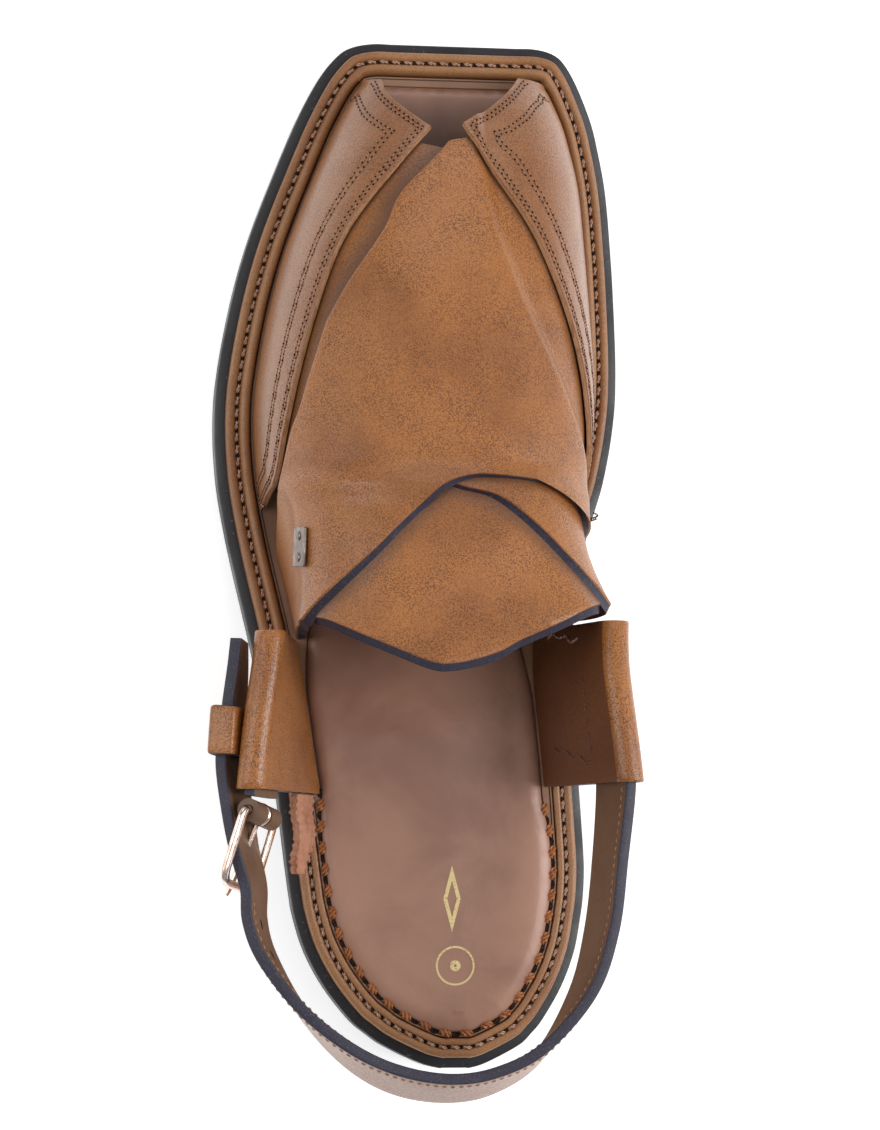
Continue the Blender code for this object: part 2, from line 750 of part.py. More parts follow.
def loft(name, profiles, collection=None):
    """A solid through matched closed profiles, capped at both ends."""
    count = len(profiles[0])
    points = np.vstack(profiles)
    faces = bands(len(profiles), count, False)
    faces.append(tuple(range(count)))
    faces.append(tuple(range(len(points) - count, len(points)))[::-1])
    return add_object(name, points, faces, collection)


def make_loop(name, side, surface):
    """A side loop: a tab that rises from the insole, folds over the strap and is sewn to itself."""
    front, rear = LOOP_FRONT[side], LOOP_REAR[side]
    body = loft(name, [loop_profile(side, a, False) for a in np.linspace(rear, front, 7)])
    reach = np.linspace(rear - 0.004, front + 0.004, 7)
    hole = loft("tunnel", [loop_profile(side, a, True) for a in reach], CUTTERS)
    return finish(boolean(body, hole, "DIFFERENCE"), surface)


def make_tail(surface):
    """The raw end of the outer loop's leather, left standing behind the loop."""
    rear = LOOP_REAR[-1] - 2 * CLEAR / SOLE_LENGTH
    profiles = []
    for share in np.linspace(0.0, 1.0, 5):
        foot, up, out = loop_frame(-1, rear)
        foot = foot + np.array([0.0, -TAIL_LENGTH * share, 0.0006 * share])
        low = 0.0045 + 0.45 * TAIL_WIDTH * share ** 3
        wave = 0.0006 * math.sin(share * 9.0)
        marks = ((wave, low), (wave + TAIL_THICK, low), (wave + TAIL_THICK, TAIL_WIDTH), (wave, TAIL_WIDTH))
        profiles.append([foot + out * n + up * w for n, w in marks])
    return finish(loft("loop_tail", profiles), surface)


def lean_direction(travel, side_out, lean):
    """The strap's direction across its width: upright, then leaned outward."""
    level = side_out - travel * side_out.dot(travel)
    level.normalize()
    return Vector((0, 0, 1)) * math.cos(lean) + level * math.sin(lean)


def outward_of(travel):
    """Level direction away from the shoe, for travel round the heel from the inner side to the outer."""
    return Vector((-travel.y, travel.x, 0.0)).normalized()


def heel_strap_route():
    """Middle line of the heel strap with its lean, from inside the inner loop to its free end."""
    rows = []
    for along in (0.415, 0.36, 0.31, LOOP_REAR[1]):
        centre = tunnel_centre(1, along)
        lean = math.degrees(math.atan(loop_frame(1, along)[1][0] / loop_frame(1, along)[1][2]))
        rows.append((*centre, lean))
    for across, along, rise, lean in HEEL_ROUTE:
        height = HEEL_STRAP_HEIGHT + rise * HEEL_STRAP_WIDTH
        rows.append((across * BALL_WIDTH, along * SOLE_LENGTH, height, lean))
    bar_front, bar_rear = buckle_bars()
    inside = Vector((1.0, 0.0, 0.0)) * (BAR_RADIUS + 0.5 * HEEL_STRAP_THICK + STRAP_PASS)
    passing = bar_rear + inside
    rows.append((*passing, 21.0))
    outside = Vector((-1.0, 0.0, -STRAP_DROP)) * (BAR_RADIUS + 2 * CLEAR + HEEL_STRAP_THICK + 2 * SLIDE_CLEAR)
    crossing = (bar_rear + bar_front) / 2 + Vector((-STRAP_CROSS, 0.0, 0.0))
    rows.append((*crossing, 23.0))
    rows.append((*(bar_front + outside), 25.0))
    for along in (0.285, 0.315, 0.345, 0.375, 0.402):
        centre = tunnel_centre(-1, along, free_strap_offset())
        lean = math.degrees(math.atan(abs(loop_frame(-1, along)[1][0]) / loop_frame(-1, along)[1][2]))
        rows.append((*centre, lean))
    return rows


def free_strap_offset():
    """How far outside the tunnel's middle the strap's free end lies, clear of the loop and the keeper."""
    loop_side = 0.5 * tunnel_gap() + LOOP_WALL
    return loop_side + KEEPER_WALL + CLEAR + 3.5 * SLIDE_CLEAR + 0.5 * HEEL_STRAP_THICK


def buckle_bars():
    """Middles of the buckle's front bar, in the fold of its strap, and of its rear bar."""
    rear, ahead = (Vector(tunnel_centre(-1, LOOP_REAR[-1] + d)) for d in (0.0, 0.03))
    back = (rear - ahead).normalized()
    front_bar = rear + back * (BAR_RADIUS + 0.5 * HEEL_STRAP_THICK + BUCKLE_STANDOFF)
    turned = (back + Vector((-BUCKLE_TURN, 0.0, BUCKLE_RISE))).normalized()
    return front_bar, front_bar + turned * BUCKLE_REACH


def sweep_flat(name, rows, width, thick, count, collection=None):
    """A flat strap along a route of places and leans."""
    fine = even_points(rows, count, np.array([1.0, 1.0, 1.0, 0.0]))
    places = [Vector(row[:3]) for row in fine]
    profiles = []
    for i, place in enumerate(places):
        travel = (places[min(i + 1, count)] - places[max(i - 1, 0)]).normalized()
        out = outward_of(travel)
        up = lean_direction(travel, out, math.radians(fine[i][3]))
        side = travel.cross(up).normalized()
        corners = ((-1, -1), (1, -1), (1, 1), (-1, 1))
        profiles.append([place + side * s * thick / 2 + up * u * width / 2 for s, u in corners])
    return loft(name, [np.array([tuple(p) for p in profile]) for profile in profiles], collection)


def rod(name, start, end, radius, sides, collection=None):
    """A straight round bar as a mesh, from one place to another."""
    shaped = bmesh.new()
    run = end - start
    turn = run.to_track_quat("Z", "Y").to_matrix().to_4x4()
    place = Matrix.Translation((start + end) / 2) @ turn
    bmesh.ops.create_cone(shaped, cap_ends=True, segments=sides, radius1=radius, radius2=radius,
                          depth=run.length, matrix=place)
    mesh = bpy.data.meshes.new(name)
    shaped.to_mesh(mesh)
    shaped.free()
    thing = bpy.data.objects.new(name, mesh)
    (collection or PARTS).objects.link(thing)
    return thing


def wire(name, places, radius, cyclic, surface, sides=2):
    """A bent round wire, made a mesh with its ends closed."""
    curve = bpy.data.curves.new(name, "CURVE")
    curve.dimensions = "3D"
    curve.bevel_depth = radius
    curve.bevel_resolution = sides
    curve.use_fill_caps = True
    line = curve.splines.new("POLY")
    line.points.add(len(places) - 1)
    for point, place in zip(line.points, places):
        point.co = (*place, 1.0)
    line.use_cyclic_u = cyclic
    bent = bpy.data.objects.new(name + "_wire", curve)
    CUTTERS.objects.link(bent)
    bpy.context.view_layer.update()
    mesh = bpy.data.meshes.new_from_object(bent.evaluated_get(bpy.context.evaluated_depsgraph_get()))
    shaped = bmesh.new()
    shaped.from_mesh(mesh)
    bmesh.ops.remove_doubles(shaped, verts=shaped.verts, dist=1e-6)
    bmesh.ops.recalc_face_normals(shaped, faces=shaped.faces)
    shaped.to_mesh(mesh)
    shaped.free()
    thing = bpy.data.objects.new(name, mesh)
    thing.matrix_world = bent.matrix_world
    PARTS.objects.link(thing)
    bpy.data.objects.remove(bent, do_unlink=True)
    return finish(thing, surface)


def buckle_axes():
    """The buckle's own directions: from front bar to rear bar, up its bars, and outward."""
    front, rear = buckle_bars()
    reach = (rear - front).normalized()
    tilt = math.atan(LOOP_LEAN[-1][1])
    level = Vector((reach.y, -reach.x, 0.0)).normalized()
    up = lean_direction(reach, level, tilt)
    up = (up - reach * up.dot(reach)).normalized()
    return reach, up, reach.cross(up).normalized()


def pin_line():
    """Where the pin leaves the front bar, and its tip on the rear bar."""
    front, rear = buckle_bars()
    reach, up, out = buckle_axes()
    if out.x > 0:
        out = -out
    start = front + reach * (BAR_RADIUS + PIN_RADIUS + CLEAR)
    end = rear + out * (BAR_RADIUS + PIN_RADIUS + CLEAR) + reach * 2.5 * BAR_RADIUS
    return start, end, out


def make_heel_strap(surface):
    """The heel strap with the pin's hole where the pin passes through it."""
    strap = sweep_flat("heel_strap", heel_strap_route(), HEEL_STRAP_WIDTH, HEEL_STRAP_THICK, 56)
    start, end, _ = pin_line()
    run = (end - start).normalized()
    drill = rod("pin_hole", start - run * 0.001, end + run * 0.002, PIN_RADIUS + CLEAR, 10, CUTTERS)
    return finish(boolean(strap, drill, "DIFFERENCE"), surface)


def make_buckle_strap(surface):
    """The short folded strap that lies in the outer loop's tunnel and holds the buckle's front bar."""
    front, _ = buckle_bars()
    _, up, _ = buckle_axes()
    rows = []
    for along in (0.400, 0.36, 0.32, LOOP_REAR[-1]):
        centre = tunnel_centre(-1, along)
        lean = -math.degrees(math.atan(abs(loop_frame(-1, along)[1][0]) / loop_frame(-1, along)[1][2]))
        rows.append((*centre, lean))
    lean = -math.degrees(math.atan(LOOP_LEAN[-1][1]))
    rows.append((*front, lean))
    strap = sweep_flat("buckle_strap", rows, HEEL_STRAP_WIDTH, HEEL_STRAP_THICK, 12)
    half = up * HEEL_STRAP_WIDTH / 2
    fold = rod("fold", front - half, front + half, BAR_RADIUS + CLEAR + 0.5 * HEEL_STRAP_THICK, 14, CUTTERS)
    boolean(strap, fold, "UNION")
    bore = rod("bore", front - half * 1.3, front + half * 1.3, BAR_RADIUS + CLEAR, 14, CUTTERS)
    boolean(strap, bore, "DIFFERENCE")
    notch = rod("notch", front - up * (PIN_RADIUS + 2 * CLEAR), front + up * (PIN_RADIUS + 2 * CLEAR),
                2 * BAR_RADIUS + 2 * PIN_RADIUS + 3 * CLEAR, 14, CUTTERS)
    boolean(strap, notch, "DIFFERENCE")
    return finish(strap, surface)


def make_buckle(surface):
    """The buckle's wire frame and the pin that hooks round its front bar."""
    front, rear = buckle_bars()
    reach, up, _ = buckle_axes()
    half = HEEL_STRAP_WIDTH / 2 + 2 * SLIDE_CLEAR + BAR_RADIUS + 0.0008
    corner = 0.003
    places = []
    corners = ((front, 1, 90), (front, -1, 180), (rear, -1, 270), (rear, 1, 0))
    for bar, sign, start in corners:
        towards = 1.0 if bar is front else -1.0
        centre = bar + reach * towards * corner + up * sign * (half - corner)
        for turn in (0, 30, 60, 90):
            angle = math.radians(start + turn)
            places.append(centre + reach * corner * math.cos(angle) + up * corner * math.sin(angle))
    wire("buckle_frame", places, BAR_RADIUS, True, surface)
    start, end, out = pin_line()
    ring = BAR_RADIUS + PIN_RADIUS + CLEAR
    hook = [front + reach * ring * math.cos(math.radians(a)) - out * ring * math.sin(math.radians(a))
            for a in range(250, -1, -25)]
    along = [start + (end - start) * share for share in (0.3, 0.6, 1.0)]
    wire("buckle_pin", hook + along, PIN_RADIUS, False, surface, 1)


def make_keeper(surface):
    """The keeper: a closed leather ring round the strap's free end."""
    middle = 0.315
    place = Vector(tunnel_centre(-1, middle, free_strap_offset()))
    ahead = Vector(tunnel_centre(-1, middle + 0.02, free_strap_offset()))
    travel = (ahead - place).normalized()
    up = Vector(loop_frame(-1, middle)[1])
    up = (up - travel * up.dot(travel)).normalized()
    side = travel.cross(up).normalized()
    rings = []
    for end, wall in ((-1, 0.0), (-1, KEEPER_WALL), (1, KEEPER_WALL), (1, 0.0)):
        half_side = HEEL_STRAP_THICK / 2 + 2.5 * SLIDE_CLEAR + wall
        half_up = HEEL_STRAP_WIDTH / 2 + 2.5 * SLIDE_CLEAR + wall
        round_off = 0.6 * KEEPER_WALL
        marks = []
        for s, u in ((1, -1), (1, 1), (-1, 1), (-1, -1)):
            first = (s * half_side, u * (half_up - round_off))
            second = (s * (half_side - round_off), u * half_up)
            marks += [first, second] if s * u > 0 else [second, first]
        centre = place + travel * end * KEEPER_LENGTH / 2
        rings.append([tuple(centre + side * a + up * b) for a, b in marks])
    thing = add_object("keeper", np.vstack(rings), bands(4, len(rings[0]), True))
    return finish(thing, surface)


def make_ornament():
    """The small metal plate on strap A, near the outer side opening."""
    along, girth = 0.491, -0.585
    top = lift_a(along, girth) + STRAP_A_THICK + 2 * CLEAR + ORNAMENT_THICK / 2
    place = Vector(lifted(along, girth, top))
    normal = Vector(last_normal(along, girth))
    long_way = Vector((0.16, 0.98, 0.0))
    long_way = (long_way - normal * long_way.dot(normal)).normalized()
    wide_way = long_way.cross(normal).normalized()
    bpy.ops.mesh.primitive_cube_add(size=1.0)
    thing = bpy.context.active_object
    thing.name = "ornament"
    thing.data.name = "ornament"
    for holder in list(thing.users_collection):
        holder.objects.unlink(thing)
    PARTS.objects.link(thing)
    size = (ORNAMENT_WIDTH, ORNAMENT_LENGTH, ORNAMENT_THICK)
    for point in thing.data.vertices:
        a, b, c = (point.co[i] * size[i] for i in range(3))
        point.co = place + wide_way * a + long_way * b + normal * c
    soften = thing.modifiers.new("soften", "BEVEL")
    soften.width = 0.25 * ORNAMENT_THICK
    soften.segments = 1
    return finish(thing, material("ornament metal", (0.22, 0.2, 0.19), 0.3, 1.0))


def main():
    """Build every sub-part."""
    make_outsole()
    make_heel()
    make_welt()
    make_insole()
    make_upper()
    make_panels()
    loop_leather = material("loop leather", TAN, 0.38)
    make_loop("loop_lateral", -1, loop_leather)
    make_loop("loop_medial", 1, loop_leather)
    make_tail(material("raw leather", (0.50, 0.24, 0.13), 0.7))
    strap_leather = material("strap leather", (0.33, 0.18, 0.09), 0.45)
    make_heel_strap(strap_leather)
    make_buckle_strap(strap_leather)
    make_keeper(strap_leather)
    make_buckle(material("buckle metal", (0.80, 0.66, 0.56), 0.25, 1.0))
    make_ornament()


main()
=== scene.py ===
"""Looks of a left foot peshawari chappal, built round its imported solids.

Metres, +Z up, +Y towards the toe, +X towards the inner side of the foot. Shares named "along" run
from the back of the heel (0) to the toe (1). Shares named "girth" run over the last from the outer
feather edge (-1) across the top (0) to the inner feather edge (+1).
"""

import logging
import math
from dataclasses import dataclass, field
from enum import Enum
from functools import cache
from typing import Callable, Sequence

import bmesh
import bpy
import numpy as np
from mathutils import Matrix, Vector


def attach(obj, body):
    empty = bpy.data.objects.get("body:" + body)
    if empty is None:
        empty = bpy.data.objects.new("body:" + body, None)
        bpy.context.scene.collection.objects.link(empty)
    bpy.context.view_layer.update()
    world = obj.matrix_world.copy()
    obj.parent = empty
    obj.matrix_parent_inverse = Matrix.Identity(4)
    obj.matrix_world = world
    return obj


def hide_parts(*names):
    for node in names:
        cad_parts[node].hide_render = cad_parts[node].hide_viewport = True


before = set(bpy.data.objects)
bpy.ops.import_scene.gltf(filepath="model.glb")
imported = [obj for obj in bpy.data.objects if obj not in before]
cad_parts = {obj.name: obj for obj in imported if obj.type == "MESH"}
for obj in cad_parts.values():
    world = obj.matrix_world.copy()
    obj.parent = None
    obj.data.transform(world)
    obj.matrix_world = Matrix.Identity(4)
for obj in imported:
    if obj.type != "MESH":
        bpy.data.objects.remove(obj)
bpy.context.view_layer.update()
LOG = logging.getLogger("chappal")
Array = np.ndarray
Colour = tuple[float, float, float]
Height = Callable[[Array], Array]
Inset = Height | float
Lift = Callable[[Array, Array], Array]
Socket = bpy.types.NodeSocket
Triple = tuple[float, float, float]


def smooth(share: Array) -> Array:
    """Ease from 0 to 1."""
    share = np.clip(share, 0.0, 1.0)
    return share * share * (3.0 - 2.0 * share)


def spline(rows: Sequence, steps: int, closed: bool = False) -> Array:
    """Run a smooth curve through every row.

    Args:
        rows: points of any dimension.
        steps: steps between two rows.
        closed: whether the curve returns to its first row.

    Returns:
        The points of the curve.
    """
    rows = np.array(rows, float)
    if closed:
        padded = np.vstack([rows[-1:], rows, rows[:2]])
    else:
        padded = np.vstack([2 * rows[:1] - rows[1:2], rows, 2 * rows[-1:] - rows[-2:-1]])
    out = []
    for i in range(1, len(padded) - 2):
        p0, p1, p2, p3 = padded[i - 1:i + 3]
        for u in np.arange(steps) / steps:
            square = (2 * p0 - 5 * p1 + 4 * p2 - p3) * u ** 2
            cube = (3 * p1 - p0 - 3 * p2 + p3) * u ** 3
            out.append(0.5 * (2 * p1 + (p2 - p0) * u + square + cube))
    if not closed:
        out.append(rows[-1])
    return np.array(out)


def even_points(rows: Sequence, count: int, weights: Array) -> Array:
    """Resample a smooth run of points at even steps of weighted length.

    Args:
        rows: points that the run passes through.
        count: steps wanted.
        weights: real size of one unit of each column.

    Returns:
        count + 1 points.
    """
    fine = spline(rows, 16) if len(rows) > 2 else np.array(rows, float)
    steps = np.linalg.norm(np.diff(fine, axis=0) * weights, axis=1)
    reach = np.concatenate([[0.0], np.cumsum(steps)])
    wanted = np.linspace(0.0, reach[-1], count + 1)
    return np.stack([np.interp(wanted, reach, fine[:, i]) for i in range(fine.shape[1])], 1)


def circle(count: int) -> Array:
    """Even angles round a full turn."""
    return np.linspace(0.0, 2 * math.pi, count, endpoint=False)


def unit(vectors: Array) -> Array:
    """Vectors of length one."""
    return vectors / np.maximum(np.linalg.norm(vectors, axis=-1, keepdims=True), 1e-12)


def walk(points: Array, pitch: float) -> Array:
    """Points an even pitch apart along a run, whose first three columns are its place."""
    run = np.concatenate([[0.0], np.cumsum(np.linalg.norm(np.diff(points[:, :3], axis=0), axis=1))])
    spots = np.linspace(0.0, run[-1], max(2, round(run[-1] / pitch) + 1))
    return np.stack([np.interp(spots, run, points[:, c]) for c in range(points.shape[1])], axis=1)


class Desk:
    """The nodes of one material."""

    def __init__(self, name: str) -> None:
        """Start a material with its shader.

        Args:
            name: the material's name.
        """
        self.material = bpy.data.materials.new(f"{name}_finish")
        self.material.use_nodes = True
        self.tree = self.material.node_tree
        self.shader = self.tree.nodes["Principled BSDF"]
        self.place = self.add("ShaderNodeTexCoord").outputs["Object"]

    def add(self, kind: str, **settings: object) -> bpy.types.Node:
        """Add a node and set its fields."""
        node = self.tree.nodes.new(kind)
        for key, value in settings.items():
            setattr(node, key, value)
        return node

    def link(self, source: Socket, target: Socket) -> None:
        """Join two sockets."""
        self.tree.links.new(source, target)

    def set(self, **values: object) -> None:
        """Set the shader's own sockets by name, with spaces written as underscores."""
        for key, value in values.items():
            self.shader.inputs[key.replace("_", " ")].default_value = value

    def noise(self, scale: float, detail: float = 2.0, rough: float = 0.5, warp: float = 0.0,
              stretch: Triple | None = None) -> Socket:
        """Cloudy values.

        Args:
            scale: clouds to a metre.
            detail: octaves.
            rough: weight of the finer octaves.
            warp: distortion.
            stretch: scale of each axis first, for streaks.

        Returns:
            The value socket.
        """
        node = self.add("ShaderNodeTexNoise")
        node.inputs["Scale"].default_value = scale
        node.inputs["Detail"].default_value = detail
        node.inputs["Roughness"].default_value = rough
        node.inputs["Distortion"].default_value = warp
        place = self.place
        if stretch:
            mapping = self.add("ShaderNodeMapping")
            mapping.inputs["Scale"].default_value = stretch
            self.link(place, mapping.inputs["Vector"])
            place = mapping.outputs["Vector"]
        self.link(place, node.inputs["Vector"])
        return node.outputs["Fac"]

    def ramp(self, value: Socket, low: float, high: float, start: float = 0.0,
             end: float = 1.0) -> Socket:
        """Map a value from one range to another, held at both ends."""
        node = self.add("ShaderNodeMapRange")
        node.interpolation_type = "SMOOTHSTEP"
        node.inputs["From Min"].default_value = low
        node.inputs["From Max"].default_value = high
        node.inputs["To Min"].default_value = start
        node.inputs["To Max"].default_value = end
        self.link(value, node.inputs["Value"])
        return node.outputs["Result"]

    def times(self, one: Socket, other: Socket) -> Socket:
        """Multiply two values."""
        node = self.add("ShaderNodeMath", operation="MULTIPLY")
        self.link(one, node.inputs[0])
        self.link(other, node.inputs[1])
        return node.outputs[0]

    def mix(self, factor: Socket, one: Colour | Socket,
            other: Colour | Socket) -> Socket:
        """Blend two colours by a factor."""
        node = self.add("ShaderNodeMix", data_type="RGBA")
        self.link(factor, node.inputs["Factor"])
        for socket, colour in ((node.inputs[6], one), (node.inputs[7], other)):
            if isinstance(colour, tuple):
                socket.default_value = (*colour, 1.0)
            else:
                self.link(colour, socket)
        return node.outputs[2]

    def colour(self, source: Socket) -> None:
        """Feed the base colour."""
        self.link(source, self.shader.inputs["Base Color"])

    def roughness(self, source: Socket) -> None:
        """Feed the roughness."""
        self.link(source, self.shader.inputs["Roughness"])

    def bump(self, *layers: tuple[Socket, float]) -> None:
        """Raise the surface by layers of value and height in metres."""
        last = None
        for value, height in layers:
            node = self.add("ShaderNodeBump")
            node.inputs["Strength"].default_value = 1.0
            node.inputs["Distance"].default_value = height
            self.link(value, node.inputs["Height"])
            if last is not None:
                self.link(last, node.inputs["Normal"])
            last = node.outputs["Normal"]
        self.link(last, self.shader.inputs["Normal"])


@dataclass(frozen=True)
class WaxedLeather:
    """Tan waxed leather with a fine dark fleck and burnished clouds."""

    name: str
    light: Colour = (0.430, 0.165, 0.044)
    fleck: Colour = (0.115, 0.034, 0.009)
    cloud: Colour = (0.235, 0.078, 0.020)
    # colour of the painted shade along the edges of pieces that lie over this one
    painted_shade: Colour = (0.105, 0.050, 0.030)
    fleck_share: float = 0.80
    cloud_share: float = 0.60
    rough: float = 0.40
    coat: float = 0.14
    fleck_scale: float = 2300.0

    def build(self) -> bpy.types.Material:
        """Make the material."""
        desk = Desk(self.name)
        fine = desk.noise(self.fleck_scale, 1.0, 0.5)
        broad = desk.noise(26.0, 3.0, 0.55, 0.3)
        middle = desk.noise(95.0, 2.0, 0.5)
        flecks = desk.ramp(fine, 0.44, 0.60, 0.0, self.fleck_share)
        where = desk.ramp(middle, 0.30, 0.68, 0.60, 1.0)
        clouds = desk.ramp(broad, 0.42, 0.68, 0.0, self.cloud_share)
        base = desk.mix(clouds, self.light, self.cloud)
        # painted shade: a per-point darkness, set where other pieces lie over this one, mixed over the
        # leather colour
        dark = desk.add("ShaderNodeAttribute", attribute_name="painted_shade").outputs["Fac"]
        flecked = desk.mix(desk.times(flecks, where), base, self.fleck)
        desk.colour(desk.mix(dark, flecked, self.painted_shade))
        desk.roughness(desk.ramp(fine, 0.3, 0.7, self.rough - 0.06, self.rough + 0.10))
        desk.set(Coat_Weight=self.coat, Coat_Roughness=0.30, Coat_IOR=1.45, Specular_IOR_Level=0.5)
        desk.bump((broad, 0.0006), (middle, 0.00018), (fine, 0.00005))
        return desk.material


@dataclass(frozen=True)
class SatinLeather:
    """Smooth satin leather, faintly clouded, as on the footbed and linings."""

    name: str
    base: Colour = (0.430, 0.228, 0.158)
    shade: Colour = (0.310, 0.156, 0.108)
    rough: float = 0.36
    wrinkle: float = 0.0002

    def build(self) -> bpy.types.Material:
        """Make the material."""
        desk = Desk(self.name)
        broad = desk.noise(32.0, 4.0, 0.55, 0.4)
        fine = desk.noise(1500.0, 2.0, 0.6)
        middle = desk.noise(190.0, 3.0, 0.6, 0.5)
        # painted shade: a per-point darkness, set where other pieces shade this one, pulls the colour towards
        # a deep copy of the shade tone
        dark = desk.add("ShaderNodeAttribute", attribute_name="painted_shade").outputs["Fac"]
        clouded = desk.mix(desk.ramp(broad, 0.38, 0.72), self.base, self.shade)
        desk.colour(desk.mix(dark, clouded, tuple(0.35 * part for part in self.shade)))
        desk.roughness(desk.ramp(middle, 0.3, 0.7, self.rough - 0.05, self.rough + 0.08))
        desk.set(Coat_Weight=0.15, Coat_Roughness=0.28, Specular_IOR_Level=0.5)
        desk.bump((broad, 0.0004), (middle, self.wrinkle), (fine, 0.00002))
        return desk.material


@dataclass(frozen=True)
class PaintedEdge:
    """A cut edge of leather sealed with dark navy paint."""

    name: str
    base: Colour = (0.026, 0.023, 0.042)
    worn: Colour = (0.135, 0.115, 0.150)
    worn_share: float = 0.55

    def build(self) -> bpy.types.Material:
        """Make the material."""
        desk = Desk(self.name)
        fine = desk.noise(1900.0, 3.0, 0.7)
        middle = desk.noise(240.0, 2.0, 0.5)
        specks = desk.ramp(fine, 0.50, 0.68, 0.0, self.worn_share)
        worn = desk.times(specks, desk.ramp(middle, 0.3, 0.6, 0.4, 1.0))
        desk.colour(desk.mix(worn, self.base, self.worn))
        desk.roughness(desk.ramp(fine, 0.3, 0.7, 0.42, 0.62))
        desk.bump((fine, 0.00012), (middle, 0.0002))
        return desk.material


@dataclass(frozen=True)
class RawLeather:
    """Bare leather in the grain of its fibres: raw edges and the flesh side."""

    name: str
    base: Colour = (0.56, 0.27, 0.17)
    shade: Colour = (0.33, 0.115, 0.045)
    streak: Triple = (1.0, 0.12, 1.0)

    def build(self) -> bpy.types.Material:
        """Make the material."""
        desk = Desk(self.name)
        fibre = desk.noise(900.0, 4.0, 0.7, 0.2, self.streak)
        broad = desk.noise(120.0, 2.0, 0.5)
        tone = desk.times(desk.ramp(fibre, 0.40, 0.66), desk.ramp(broad, 0.3, 0.7, 0.35, 1.0))
        desk.colour(desk.mix(tone, self.base, self.shade))
        desk.set(Roughness=0.62)
        desk.bump((fibre, 0.0002))
        return desk.material


@dataclass(frozen=True)
class BlackRubber:
    """Black sole rubber, scuffed grey along its edge."""

    name: str
    base: Colour = (0.017, 0.015, 0.019)
    scuff: Colour = (0.30, 0.30, 0.31)
    tread: bool = False

    def build(self) -> bpy.types.Material:
        """Make the material."""
        desk = Desk(self.name)
        fine = desk.noise(700.0, 4.0, 0.75, 0.3)
        broad = desk.noise(70.0, 2.0, 0.5)
        scuffs = desk.times(desk.ramp(fine, 0.60, 0.74), desk.ramp(broad, 0.45, 0.62, 0.0, 0.75))
        desk.colour(desk.mix(scuffs, self.base, self.scuff))
        desk.roughness(desk.ramp(broad, 0.3, 0.7, 0.32, 0.52))
        layers = [(fine, 0.00010)]
        if self.tread:
            wave = desk.add("ShaderNodeTexWave", wave_type="BANDS", bands_direction="Z", wave_profile="SIN")
            wave.inputs["Scale"].default_value = 78.0
            desk.link(desk.place, wave.inputs["Vector"])
            layers.append((wave.outputs["Fac"], 0.0004))
        desk.bump(*layers)
        return desk.material


@dataclass(frozen=True)
class Thread:
    """Waxed sewing thread."""

    name: str
    base: Colour = (0.52, 0.32, 0.23)
    shade: Colour = (0.26, 0.13, 0.08)
    rough: float = 0.5

    def build(self) -> bpy.types.Material:
        """Make the material."""
        desk = Desk(self.name)
        fine = desk.noise(2600.0, 2.0, 0.6)
        broad = desk.noise(160.0, 2.0, 0.5)
        tone = desk.times(desk.ramp(fine, 0.4, 0.6), desk.ramp(broad, 0.3, 0.7, 0.3, 1.0))
        desk.colour(desk.mix(tone, self.base, self.shade))
        desk.set(Roughness=self.rough)
        desk.bump((fine, 0.00006))
        return desk.material


@dataclass(frozen=True)
class HoleShade:
    """Near-black painted shade for the inside of a needle hole."""

    name: str
    # near black: painted shade of the hole's inside
    base: Colour = (0.010, 0.006, 0.005)

    def build(self) -> bpy.types.Material:
        """Make the material."""
        desk = Desk(self.name)
        fine = desk.noise(1800.0, 2.0, 0.5)
        desk.colour(desk.mix(desk.ramp(fine, 0.4, 0.7), self.base, (0.045, 0.022, 0.014)))
        desk.set(Roughness=0.9, Specular_IOR_Level=0.1)
        return desk.material


@dataclass(frozen=True)
class PlatedMetal:
    """Plated metal with fine handling marks."""

    name: str
    base: Colour = (0.90, 0.76, 0.68)
    worn: Colour = (0.72, 0.50, 0.40)
    rough: float = 0.20

    def build(self) -> bpy.types.Material:
        """Make the material."""
        desk = Desk(self.name)
        fine = desk.noise(1300.0, 3.0, 0.6, 0.0, (1.0, 0.25, 1.0))
        broad = desk.noise(210.0, 2.0, 0.5)
        desk.colour(desk.mix(desk.ramp(broad, 0.42, 0.70), self.base, self.worn))
        desk.roughness(desk.ramp(fine, 0.3, 0.7, self.rough - 0.06, self.rough + 0.14))
        desk.set(Metallic=1.0)
        desk.bump((fine, 0.00003))
        return desk.material


@dataclass(frozen=True)
class GoldFoil:
    """Stamped gold foil, thin enough to show the grain below."""

    name: str
    base: Colour = (0.86, 0.68, 0.34)
    thin: Colour = (0.52, 0.34, 0.15)

    def build(self) -> bpy.types.Material:
        """Make the material."""
        desk = Desk(self.name)
        fine = desk.noise(1500.0, 3.0, 0.6)
        desk.colour(desk.mix(desk.ramp(fine, 0.50, 0.72), self.base, self.thin))
        desk.roughness(desk.ramp(fine, 0.3, 0.7, 0.30, 0.48))
        desk.set(Metallic=0.35)
        desk.bump((fine, 0.00003))
        return desk.material


@dataclass(frozen=True)
class PaleFloor:
    """The plain pale floor."""

    name: str = "pale_floor"
    base: Colour = (0.90, 0.90, 0.905)
    glow: float = 0.55

    def build(self) -> bpy.types.Material:
        """Make the material."""
        desk = Desk(self.name)
        desk.set(Base_Color=(*self.base, 1.0), Roughness=0.9, Specular_IOR_Level=0.2,
                 Emission_Color=(1.0, 1.0, 1.0, 1.0), Emission_Strength=self.glow)
        return desk.material


